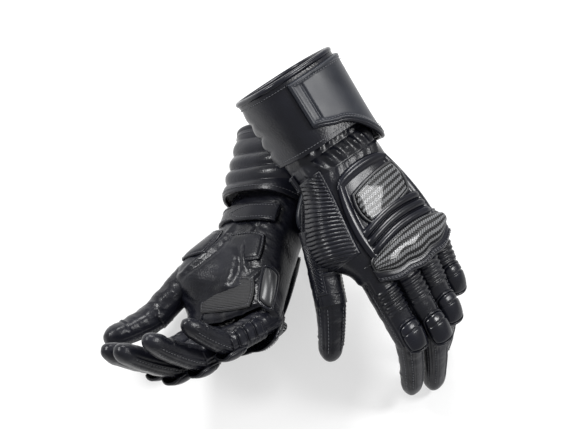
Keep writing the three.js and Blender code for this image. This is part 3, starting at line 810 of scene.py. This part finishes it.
def back_place(p, q):
    """Reach and angle: p towards the fingers, q across; the sides lean and the corners are drawn in."""
    lean = 0.05 * np.sin(math.pi * p) - 0.10 * (1 - p) ** 5 - 0.05 * p ** 6
    share = BACK["left"] - lean + (BACK["right"] - BACK["left"] + 2 * lean) * q
    corner = 4.0 * np.abs(2 * q - 1) ** 6 * (1 - p)
    bow = 3.5 * np.sin(math.pi * q) * (1 - p)
    return BACK["start"] + corner - bow + (BACK["end"] - BACK["start"]) * p, share_angle(share)


def back_height(p, q, edge):
    """A full roll along the border, falling to the sunken middle."""
    roll = 3.6 * border(edge, 4.5) - 0.9 * step(edge, 4.5, BACK["border"])
    return roll - 1.5 * step(edge, BACK["border"] - 1.0, BACK["border"] + 1.6)


for glove in gloves:
    side = glove["side"]
    panel = laid_sheet(side + "_back_pad", glove["hand"], hand_point, back_place, 0.5, back_height,
                       (90, 110), smooth_leather)
    put(panel, "hands", "leather", side + "_back_panel")
    loops = []
    for inset in (0.045, 0.075):
        t = steps(0, 1, 120)
        lines = [(t, inset + 0 * t), (t, 1 - inset + 0 * t), (inset * 0.7 + 0 * t, t)]
        loops += [hand_point(*back_place(p, q), 3.35) for p, q in lines]
    put(stitches(side + "_back_pad_thread", glove["hand"], loops, **FINE_STITCH), "hands", "leather")

# ---- the metacarpal plate ------------------------------------------------------------------------------
# A hard plate of clear-coated woven fibre, a rounded slanting oblong in a moulded rim, riveted behind and
# sewn in by its rim. Its face is bare.


def carbon_material():
    """Twill weave on the piece's own map: warp and weft tows alternate, each a rounded strand in the bump.
    The colour is painted sheen: the crowns of the tows that lie over are lighter, a glint painted in, and the
    rest is near black."""
    material, tree, shader, out = new_material("woven_fibre")
    make, link = tree.nodes.new, tree.links.new
    tow = 0.0017
    where = make("ShaderNodeUVMap")
    where.uv_map = "surface"
    turn = make("ShaderNodeMapping")
    turn.inputs["Rotation"].default_value = (0, 0, math.radians(45))
    turn.inputs["Scale"].default_value = (1 / tow, 1 / tow, 1)
    link(where.outputs[0], turn.inputs["Vector"])
    split = make("ShaderNodeSeparateXYZ")
    link(turn.outputs[0], split.inputs[0])

    def maths(operation, a, b=None):
        node = make("ShaderNodeMath")
        node.operation = operation
        for socket, value in zip(node.inputs, (a, b)):
            if value is None:
                continue
            if isinstance(value, (int, float)):
                socket.default_value = value
            else:
                link(value, socket)
        return node.outputs[0]

    x, y = split.outputs[0], split.outputs[1]
    cell = maths("ADD", maths("FLOOR", x), maths("FLOOR", y))
    over = maths("LESS_THAN", maths("FLOORED_MODULO", cell, 4.0), 1.5)
    strand_x = maths("ABSOLUTE", maths("SINE", maths("MULTIPLY", x, math.pi)))
    strand_y = maths("ABSOLUTE", maths("SINE", maths("MULTIPLY", y, math.pi)))
    pick = make("ShaderNodeMix")
    link(over, pick.inputs[0])
    link(strand_x, pick.inputs[2])
    link(strand_y, pick.inputs[3])
    bump = make("ShaderNodeBump")
    bump.inputs["Strength"].default_value = 0.5
    bump.inputs["Distance"].default_value = 0.0003
    link(pick.outputs[0], bump.inputs["Height"])
    link(bump.outputs[0], shader.inputs["Normal"])
    # Painted sheen: the tows that lie over are lighter on their crowns, a glint painted into the colour; the
    # rest is near black.
    painted_sheen = make("ShaderNodeMix")
    painted_sheen.data_type = "RGBA"
    painted_sheen.inputs[6].default_value = (0.004, 0.004, 0.0045, 1)
    painted_sheen.inputs[7].default_value = (0.15, 0.153, 0.158, 1)
    link(maths("MULTIPLY", over, pick.outputs[0]), painted_sheen.inputs[0])
    link(painted_sheen.outputs[2], shader.inputs["Base Color"])
    shader.inputs["Roughness"].default_value = 0.36
    shader.inputs["Specular IOR Level"].default_value = 0.15
    shader.inputs["Coat Weight"].default_value = 0.2
    shader.inputs["Coat Roughness"].default_value = 0.05
    return material


def moulded(name, colour, roughness):
    """Satin moulded rubber: a fine even texture and slight mottling."""
    material, tree, shader, out = new_material(name)
    grain_nodes(tree, shader, 0.0005, 0.00002, colour, tuple(1.7 * c for c in colour), roughness, 0.05)
    return material


woven_fibre = carbon_material()
satin_rubber = moulded("satin_rubber", (0.013, 0.0135, 0.015), 0.36)
PLATE = {"reach": 45.0, "x": 4.0, "half_width": 23.5, "half_length": 14.0, "slant": 0.12}


def half_at(reach):
    """The hand's half width at a reach."""
    grow = step(np.clip(reach / HAND["length"], 0, 1), 0, 1)
    return HAND["wrist"] + (KNUCKLE_HALF - HAND["wrist"]) * grow


def plate_place(u, v, size=1.0):
    """Reach and angle of a plate point: u across, v along, both -1 to 1."""
    a, b = squircle(u, v)
    reach = PLATE["reach"] + size * b * PLATE["half_length"] - PLATE["slant"] * PLATE["half_width"] * a * size
    x = PLATE["x"] + size * a * PLATE["half_width"]
    return reach, share_angle(x / half_at(reach))


def plate_height(p, q, edge):
    """A rounded edge and a slight crown."""
    return 1.9 * border(edge + 0.2, 2.0) + 0.5 * np.sin(math.pi * p) * np.sin(math.pi * q)


for glove in gloves:
    side = glove["side"]
    plate = laid_sheet(side + "_fibre_plate", glove["hand"], hand_point,
                       lambda p, q: plate_place(2 * q - 1, 2 * p - 1), 2.2, plate_height,
                       (60, 90), woven_fibre)
    put(plate, "hands", "carbon_weave", side + "_metacarpal_plate")
    line, up = on_surface(hand_point, *plate_place(*outline(160), 1.07), 3.2)
    rim = bead(side + "_plate_rim", glove["hand"], line, up, 1.1, 1.6, satin_rubber, closed=True)
    put(rim, "hands", "moulded_armour")

# ---- the stretch bellows -------------------------------------------------------------------------------
# Leather folded over elastic in three full rolls across the back of the hand, so that it stretches when
# the hand closes. Each roll is flat at its ends, where it is caught under the frame.
BELLOWS = {"start": 61.0, "end": 84.0, "folds": 3}


def bellows_place(p, q):
    """Reach and angle: straight across, leaning to one side and bowed towards the wrist."""
    along = BELLOWS["start"] + (BELLOWS["end"] - BELLOWS["start"]) * p
    return along - 3.2 * (q - 0.5) - 4.5 * np.sin(math.pi * q), share_angle(-0.66 + 1.40 * q)


def bellows_height(p, q, edge):
    """Rounded rolls, the size of a sine of p, that flatten at both ends of q."""
    roll = np.abs(np.sin(math.pi * BELLOWS["folds"] * p)) ** 0.6
    return (1.3 + 3.4 * roll * border(20 * np.sin(math.pi * q), 7)) * border(edge + 0.3, 1.5)


for glove in gloves:
    side = glove["side"]
    folds = laid_sheet(side + "_bellows_leather", glove["hand"], hand_point, bellows_place, 1.0,
                       bellows_height, (90, 70), smooth_leather)
    put(folds, "hands", "leather", side + "_stretch_bellows")

# ---- the knuckle guard ---------------------------------------------------------------------------------
# One moulded shell of the same woven fibre over all four knuckles, domed over each, with three round
# lobes along its front edge. It sits in a moulded rim, with a wide rolled leather lip in front of it.
GUARD = {"back": 79.0, "front": 103.0, "lobe": 1.6, "pitch": 23.0, "middle": 3.0,
         "left": -0.73, "right": 0.84}


def guard_lobes(x):
    """How far the front edge is out at x: full in the middle of each scallop, nothing between two."""
    return (0.5 + 0.5 * np.cos(2 * math.pi * (x - GUARD["middle"]) / GUARD["pitch"])) ** 0.7


def guard_place(p, q, grow=0.0):
    """Reach and angle: p from the back edge to the lobed front, q across, narrowing at both ends."""
    share = (GUARD["left"] - grow * 0.02) + (GUARD["right"] - GUARD["left"] + grow * 0.04) * q
    x = share * KNUCKLE_HALF
    ends = np.sqrt(np.clip(1 - np.abs(2 * q - 1) ** 5, 0.0, 1))
    front = GUARD["front"] + GUARD["lobe"] * guard_lobes(x) - 0.004 * (x - 3) ** 2 + grow
    back = GUARD["back"] + 0.0035 * (x - 3) ** 2 - 2.5 * (q - 0.5) - grow
    middle = (front + back) / 2
    return middle + (p - 0.5) * (front - back) * (0.5 + 0.5 * ends), share_angle(share)


def guard_height(p, q, edge):
    """A dome along p with a low boss behind each lobe."""
    x = (GUARD["left"] + (GUARD["right"] - GUARD["left"]) * q) * KNUCKLE_HALF
    dome = np.sin(math.pi * np.clip(p, 0.02, 0.98)) ** 0.7
    scallop = 0.5 + 0.5 * np.cos(2 * math.pi * (x - GUARD["middle"]) / GUARD["pitch"])
    return (3.0 + 3.6 * dome + 0.5 * scallop * step(p, 0.45, 0.8)) * border(edge + 0.25, 3.4)


def lip_place(p, q):
    """Reach and angle of the lip, from under the guard's front edge forwards."""
    return guard_place(1 + 0 * q, q, 0.5)[0] - 3 + 11.5 * p, share_angle(-0.80 + 1.68 * q)


def lip_height(p, q, edge):
    """A full roll with one groove along it."""
    return 3.0 * border(edge + 0.1, 4.5) - 0.5 * hump(p, 0.62, 0.06)


for glove in gloves:
    side = glove["side"]
    lip = laid_sheet(side + "_guard_lip", glove["hand"], hand_point, lip_place, 0.6, lip_height,
                     (40, 120), smooth_leather)
    put(lip, "hands", "leather")
    guard = laid_sheet(side + "_fibre_guard", glove["hand"], hand_point, guard_place, 1.4, guard_height,
                       (70, 140), woven_fibre)
    put(guard, "hands", "carbon_weave", side + "_knuckle_guard")
    t = steps(0, 1, 90)
    loop = [(0 * t, t), (t, 1 + 0 * t), (1 + 0 * t, t[::-1]), (t[::-1], 0 * t)]
    p = np.concatenate([a[:-1] for a, b in loop])
    q = np.concatenate([b[:-1] for a, b in loop])
    line, up = on_surface(hand_point, *guard_place(p, q, 1.0), 2.0)
    rim = bead(side + "_guard_rim", glove["hand"], line, up, 1.3, 1.9, satin_rubber, closed=True)
    put(rim, "hands", "moulded_armour")
    t = steps(0.03, 0.97, 120)
    rows = [hand_point(*lip_place(a, t), 3.9) for a in (0.70, 0.80)]
    put(stitches(side + "_guard_lip_thread", glove["hand"], rows, **FINE_STITCH), "hands", "leather")

# ---- the side rib panel --------------------------------------------------------------------------------
# A panel of slanting ribs, sewn over cord, that runs from the wrist down the thumb's side of the hand and
# on along the thumb, so that the side can stretch. A flat welt frames it.
RIBS = {"hand": (3.0, 76.0), "thumb": (2.0, 44.0), "pitch": 3.2, "slant": 15.0}


def rib_height(along, q, edge):
    """Rounded ribs: the size of a sine of the way along, leaning with q, fading into the welt at the
    border."""
    lean = along + RIBS["slant"] * (q - 0.5)
    rib = np.abs(np.sin(math.pi * lean / RIBS["pitch"])) ** 0.7
    inside = step(edge, 1.8, 3.0)
    return border(edge, 1.4) * 1.5 - 0.5 * inside + 1.5 * rib * inside


def rib_sheet(name, place, surface, reaches, first, span, low, count):
    """A ribbed sheet between two reaches. Its first angle and its span are pairs: the value at its start,
    and what is added by its end."""
    start, end = reaches

    def where(p, q):
        return start + (end - start) * p, first[0] + first[1] * p + (span[0] + span[1] * p) * q

    def height(p, q, edge):
        return rib_height(start + (end - start) * p, q, edge)

    return laid_sheet(name, place, surface, where, low, height, count, back_leather)


for glove in gloves:
    side = glove["side"]
    ribs = rib_sheet(side + "_rib_leather", glove["hand"], hand_skin, RIBS["hand"],
                     (134, 5), (52, 4), 0.3, (240, 44))
    put(ribs, "hands", "leather", side + "_side_rib_panel")
    stall = stall_point(THUMB["width"] / 2, THUMB["thick"] / 2, glove["thumb_length"], 0.95, 0)
    more = rib_sheet(side + "_thumb_ribs", glove["thumb_base"], stall, RIBS["thumb"],
                     (118, 0), (66, -18), 0.4, (150, 44))
    put(more, side + "_thumb_base", "leather")

# ---- the edge slider -----------------------------------------------------------------------------------
# A smooth moulded slider on the little finger's edge of the hand, sunk in a stitched leather rim. Its
# label's place is bare.


def slider_place(u, v, size=1.0):
    """Reach and angle of a slider point: u round the hand's edge, v along it, both -1 to 1."""
    a, b = squircle(u, v)
    return 70.0 + 16.0 * size * b - 2.0 * a * size, -27.0 - 15.0 * size * a


def slider_height(p, q, edge):
    """A dome with a rounded edge."""
    dome = 2.6 * np.sin(math.pi * p) ** 0.8 * np.sin(math.pi * q) ** 0.8
    return (2.2 + dome) * border(edge + 0.2, 2.5)


for glove in gloves:
    side = glove["side"]
    slider = laid_sheet(side + "_hard_slider", glove["hand"], hand_point,
                        lambda p, q: slider_place(2 * q - 1, 2 * p - 1), 0.6, slider_height,
                        (60, 60), satin_rubber)
    put(slider, "hands", "moulded_armour", side + "_edge_slider")
    line, up = on_surface(hand_point, *slider_place(*outline(120), 1.1), 0.7)
    rim = bead(side + "_slider_rim", glove["hand"], line, up, 1.6, 1.5, smooth_leather, closed=True)
    put(rim, "hands", "leather")

# ---- the palm's patches --------------------------------------------------------------------------------
# Second layers sewn on the palm: a smooth pad under the heel of the hand, a finely ridged grip patch
# before the fingers, bare in its middle, and a patch over the ball of the thumb.


def grip_material():
    """Fine ridges across the patch on its own map, in a dull rubbery black, with painted shade: the colour
    follows the ridges, darker in the grooves and lighter on their tops.
    """
    material, tree, shader, out = new_material("ridged_grip")
    make, link = tree.nodes.new, tree.links.new
    where = make("ShaderNodeUVMap")
    where.uv_map = "surface"
    wave = make("ShaderNodeTexWave")
    wave.wave_type = "BANDS"
    wave.bands_direction = "X"
    wave.inputs["Scale"].default_value = 230.0
    wave.inputs["Distortion"].default_value = 0.6
    wave.inputs["Detail"].default_value = 1.0
    link(where.outputs[0], wave.inputs["Vector"])
    bump = make("ShaderNodeBump")
    bump.inputs["Strength"].default_value = 0.8
    bump.inputs["Distance"].default_value = 0.0004
    link(wave.outputs["Fac"], bump.inputs["Height"])
    link(bump.outputs[0], shader.inputs["Normal"])
    # Painted shade: the grooves between the ridges are darker and the tops lighter, following the bump.
    ramp = make("ShaderNodeValToRGB")
    ramp.color_ramp.elements[0].color = (0.006, 0.006, 0.007, 1)
    ramp.color_ramp.elements[1].color = (0.020, 0.020, 0.022, 1)
    link(wave.outputs["Fac"], ramp.inputs[0])
    link(ramp.outputs[0], shader.inputs["Base Color"])
    shader.inputs["Roughness"].default_value = 0.6
    return material


ridged_grip = grip_material()
PATCHES = {
    "heel_pad": {"reach": (22, 50), "angle": (-50, -98), "node": "palm_heel_panel", "tall": 1.9},
    "grip_pad": {"reach": (62, 92), "angle": (-52, -112), "node": "palm_grip_patch", "tall": 1.4},
    "thumb_ball": {"reach": (16, 46), "angle": (-106, -150), "node": "thumb_ball_patch", "tall": 1.5},
}


def patch_place(patch, p, q, size=1.0):
    """A round-cornered oblong between two reaches and two angles, a little wider in its middle."""
    a, b = squircle((2 * q - 1) * size, (2 * p - 1) * size)
    (r0, r1), (a0, a1) = patch["reach"], patch["angle"]
    return (r0 + r1) / 2 + (r1 - r0) / 2 * b * (1 + 0.08 * a), (a0 + a1) / 2 + (a1 - a0) / 2 * a


def patch_height(patch, edge):
    """A rounded border, a groove where it is stitched, and a slightly fuller middle."""
    return patch["tall"] * border(edge + 0.1, 1.6) + 0.5 * step(edge, 2, 7) - 0.5 * hump(edge, 2.6, 0.8)


for glove in gloves:
    side = glove["side"]
    for text, patch in PATCHES.items():
        surface = hand_skin if text == "thumb_ball" else hand_point
        finish = ridged_grip if text == "grip_pad" else palm_leather
        sheet = laid_sheet(side + "_" + text, glove["hand"], surface,
                           lambda p, q: patch_place(patch, p, q), 0.4,
                           lambda p, q, edge: patch_height(patch, edge), (60, 60), finish)
        put(sheet, "hands", "grip_panel" if text != "thumb_ball" else "leather", side + "_" + patch["node"])
        u, v = (np.append(way, way[0]) for way in outline(160))
        reach, angle = patch_place(patch, 0.5 + 0.5 * v, 0.5 + 0.5 * u, 0.86)
        thread_line = surface(reach, angle, 0.4 + patch["tall"] + 0.25)
        row = stitches(side + "_" + text + "_thread", glove["hand"], [thread_line], 2.6, 1.8, 0.26)
        put(row, "hands", "leather")

# ---- the finger armour ---------------------------------------------------------------------------------
# Over each finger's middle joint lies a leather-covered hard pad in a rolled rim, and behind it, at the
# finger's root, three stretch ribs. The little finger's outer side has small outlined inserts.


INSERTS = {"count": 3, "first": 17.0, "pitch": 10.0, "angle": -16}


def pad_place(length, u, v, size=1.0):
    """Reach and angle of a pad point about the finger's middle joint: u across, v along, both -1 to 1."""
    a, b = squircle(u, v)
    return length - 2.0 + 12.5 * size * b * (1 - 0.12 * a * a), 90 + 50 * size * a


def pad_height(p, q, edge):
    """A dome with a groove across it and a rounded edge."""
    dome = 3.0 * (np.sin(math.pi * p) * np.sin(math.pi * q)) ** 0.6
    return (1.5 + dome - 0.9 * hump(p, 0.30, 0.035)) * border(edge + 0.2, 2.2)


def insert_place(middle, half_length, half_angle, u, v):
    """Reach and angle of a point of a little-finger insert, an oblong about its middle."""
    a, b = squircle(u, v)
    return middle + half_length * b, INSERTS["angle"] + half_angle * a


for glove in gloves:
    side = glove["side"]
    for name, spec in FINGERS.items():
        length, place, body = glove[name + "_length"], glove[name + "_base"], side + "_" + name + "_base"
        stall = stall_point(spec["width"] / 2, spec["thick"] / 2, length + 12, 0.95, 0)
        pad = laid_sheet(side + "_" + name + "_pad", place, stall,
                         lambda p, q: pad_place(length, 2 * q - 1, 2 * p - 1), 0.6, pad_height,
                         (56, 56), smooth_leather)
        put(pad, body, "moulded_armour", side + "_" + name + "_knuckle_pad")
        line, up = on_surface(stall, *pad_place(length, *outline(96), 1.08), 0.8)
        rim = bead(side + "_" + name + "_pad_rim", place, line, up, 1.1, 1.3, back_leather, closed=True)
        put(rim, body, "leather")
    place, body, length = glove["little_base"], side + "_little_base", glove["little_length"]
    stall = stall_point(FINGERS["little"]["width"] / 2, FINGERS["little"]["thick"] / 2, length, 0.95, 0)
    for order in range(INSERTS["count"]):
        middle = INSERTS["first"] + INSERTS["pitch"] * order
        insert = laid_sheet(side + "_little_insert_%d" % order, place, stall,
                            lambda p, q: insert_place(middle, 4.0, 40, 2 * q - 1, 2 * p - 1), 0.4,
                            lambda p, q, edge: 1.9 * border(edge + 0.1, 1.8), (20, 28), smooth_leather)
        put(insert, body, "leather")
        line, up = on_surface(stall, *insert_place(middle, 4.7, 44, *outline(48)), 0.6)
        rim = bead(side + "_little_insert_rim_%d" % order, place, line, up, 0.6, 0.9,
                   back_leather, closed=True)
        put(rim, body, "leather")

# ---- the cuff ------------------------------------------------------------------------------------------
# A wide sleeve of leather round the wrist with a knitted lining and a rolled binding on its rim. It has
# room to turn on the gathered wrist, and its soft palm side sinks into a few cross folds.
CUFF = {"front": -15.0, "back": -74.5, "half": 39.7, "top": 35.2, "bottom": 34.2, "flare": 1.5}


def cuff_point(reach, angle, out):
    """The cuff's section: its half width and heights grow evenly towards the rim."""
    t = np.clip((CUFF["front"] - reach) / (CUFF["front"] - CUFF["back"]), 0, 1) * CUFF["flare"]
    x, z = rounded(CUFF["half"] + t, CUFF["top"] + t, CUFF["bottom"] + t, angle, out)
    return np.stack([x, -reach + 0 * x, z], -1)


def cuff_folds(points, reach, angle):
    """Broad soft waves, and four cross folds on the palm side."""
    palm = step(-np.sin(np.radians(angle)), 0.0, 0.7)
    wave = np.abs(np.sin(math.pi * (reach + 3 * np.cos(np.radians(angle * 2))) / 13.5)) ** 0.7
    return 0.7 * soft_noise(points, 45, 3) + palm * (3.0 * wave - 1.4) * hump(reach, -40, 26)


def knit_material():
    """A fine knitted lining: rows of small loops, soft and matt."""
    material, tree, shader, out = new_material("knitted_lining")
    grain_nodes(tree, shader, 0.0009, 0.0001, (0.010, 0.010, 0.012), (0.022, 0.022, 0.026), 0.85, 0.05)
    shader.inputs["Sheen Weight"].default_value = 0.25
    return material


knitted_lining = knit_material()
for glove in gloves:
    side = glove["side"]
    reach, angle = ring_grid(steps(CUFF["front"], CUFF["back"], 90), 150)
    flat = cuff_point(reach, angle, 0)
    folds = cuff_folds(flat, reach, angle)
    outer = cuff_point(reach, angle, folds)
    inner = cuff_point(reach, angle, np.minimum(folds, 0.5) - 2.2)[::-1]
    rows = np.concatenate([outer, inner])
    sleeve = loft(side + "_cuff_leather", glove["cuff"], rows, palm_leather, wrap_rows=True)
    put(sleeve, side + "_cuff", "leather", side + "_cuff_shell")
    reach, angle = ring_grid(steps(CUFF["front"] - 3, CUFF["back"] - 0.5, 40), 150)
    rows = np.concatenate([cuff_point(reach, angle, -2.6), cuff_point(reach, angle, -3.4)[::-1]])
    lining = loft(side + "_cuff_lining", glove["cuff"], rows, knitted_lining, wrap_rows=True)
    put(lining, side + "_cuff", "leather")
    turn = np.arange(220) * 360 / 220
    line, up = on_surface(cuff_point, CUFF["back"] - 0.9 + 0 * turn, turn, -1.2)
    rim = bead(side + "_cuff_rim", glove["cuff"], line, up, 2.5, 2.7, smooth_leather, closed=True, count=14)
    put(rim, side + "_cuff", "binding", side + "_cuff_binding")
    hems = []
    for hem in (CUFF["front"] - 3.5, CUFF["back"] + 4.5):
        reach = hem + 0 * turn
        hems.append(cuff_point(reach, turn, 0.35 + cuff_folds(cuff_point(reach, turn, 0), reach, turn)))
    put(stitches(side + "_cuff_thread", glove["cuff"], hems, **FINE_STITCH), side + "_cuff", "leather")

# ---- the cuff's flap -----------------------------------------------------------------------------------
# The closing flap wraps the back of the cuff: a coated blue-grey leather panel on a black one, edged with
# a thick roll, with two sewn grooves down it and double rows of stitches. The middle of the panel is
# bare. It hangs from the thumb's side of the cuff and closes with hook-and-loop tape under its free end.
FLAP = {"hinge": 115.0, "end": -8.0, "back": -70.5, "thick": 2.5}


def flap_place(p, q):
    """Reach and angle: p from the rim to the curved front edge, q from the hinge round to the free end,
    whose corners are cut round."""
    corner = 7 * np.abs(2 * p - 1) ** 6
    angle = FLAP["hinge"] + (FLAP["end"] + corner - FLAP["hinge"]) * q
    front = -31 + 38 * step((116 - angle) / 95, 0, 1)
    return FLAP["back"] + (front - FLAP["back"]) * p, angle


def flap_height(p, q, edge):
    """An even sheet with a rolled border, two grooves down it and a slight wave."""
    across = np.cos(np.radians(flap_place(p, q)[1]))
    x = 40 * np.sign(across) * np.abs(across) ** (2 / SQUARE)
    grooves = hump(x, -19, 1.1) + hump(x, -12, 1.1)
    roll = hump(edge, 2.2, 2.0)
    sheet = FLAP["thick"] * border(edge + 0.1, 2.2) + 0.9 * roll
    return sheet - 0.9 * grooves * step(edge, 3, 6) + 0.25 * np.sin(5 * q + 3 * p)


for glove in gloves:
    side, body = glove["side"], glove["side"] + "_flap"
    flap = laid_sheet(side + "_flap_leather", glove["cuff"], cuff_point, flap_place, 0.7, flap_height,
                      (110, 200), overlay_leather)
    put(flap, body, "smooth_overlay", side + "_closure_flap")
    t = steps(0, 1, 160)
    rows = []
    for inset in (0.055, 0.085):
        along = inset * 0.6 + (1 - inset * 1.2) * t
        tracks = [(1 - inset + 0 * t, along), (inset + 0 * t, along),
                  (inset + (1 - 2 * inset) * t, 1 - inset * 0.6 + 0 * t)]
        rows += [cuff_point(*flap_place(p, q), 0.7 + FLAP["thick"] + 0.65) for p, q in tracks]
    put(stitches(side + "_flap_thread", glove["cuff"], rows, **FINE_STITCH), body, "leather")
    line, up = on_surface(cuff_point, *flap_place(1 + 0 * t, t), 1.5)
    put(bead(side + "_flap_roll", glove["cuff"], line, up, 1.9, 2.2, smooth_leather), body, "binding")

# ---- the wrist strap -----------------------------------------------------------------------------------
# A stitched leather strap across the inside of the wrist, over a pointed second layer that carries the
# hook-and-loop tape. It starts at a sewn root on the thumb's side, where a small loop holds it.
STRAP = {"reach": 2.0, "width": 15.0, "from": 186.0, "to": 322.0}


def strap_place(p, q):
    """Reach and angle: p across the strap, q along it to the free end, whose corners are drawn in."""
    corner = 5 * np.abs(2 * p - 1) ** 4 * q
    along = STRAP["from"] + (STRAP["to"] - STRAP["from"]) * q
    return STRAP["reach"] + (p - 0.5) * STRAP["width"], along - corner


def strap_height(p, q, edge):
    """An even sheet with a slightly raised border."""
    return 2.0 * border(edge + 0.1, 1.4) + 0.35 * hump(edge, 1.2, 0.8)


def strap_end_place(p, q):
    """Reach and angle of the second layer, pointed where it starts."""
    taper = 0.12 + 0.88 * np.clip(5 * q, 0, 1)
    return STRAP["reach"] + 2 + (p - 0.5) * (STRAP["width"] + 1) * taper, 252 + 66 * q


for glove in gloves:
    side, body = glove["side"], glove["side"] + "_strap"
    strap = laid_sheet(side + "_strap_leather", glove["hand"], hand_point, strap_place, 0.8, strap_height,
                       (30, 150), back_leather)
    put(strap, body, "leather", side + "_wrist_strap")
    layer = laid_sheet(side + "_strap_end", glove["hand"], hand_point, strap_end_place, 2.9,
                       lambda p, q, edge: 1.5 * border(edge + 0.1, 1.2), (30, 90), smooth_leather)
    put(layer, body, "leather")
    middle, reach_out, start = STRAP["reach"], STRAP["width"] / 2 - 2, STRAP["from"]
    t = steps(0.02, 0.98, 110)
    rows = [hand_point(middle + s * reach_out + 0 * t, start + (248 - start) * t, 3.1) for s in (-1, 1)]
    rows += [hand_point(middle + 2 + s * reach_out * np.clip(4 * t, 0, 1), 256 + 60 * t, 4.6)
             for s in (-1, 1)]
    put(stitches(side + "_strap_thread", glove["hand"], rows, **FINE_STITCH), body, "leather")
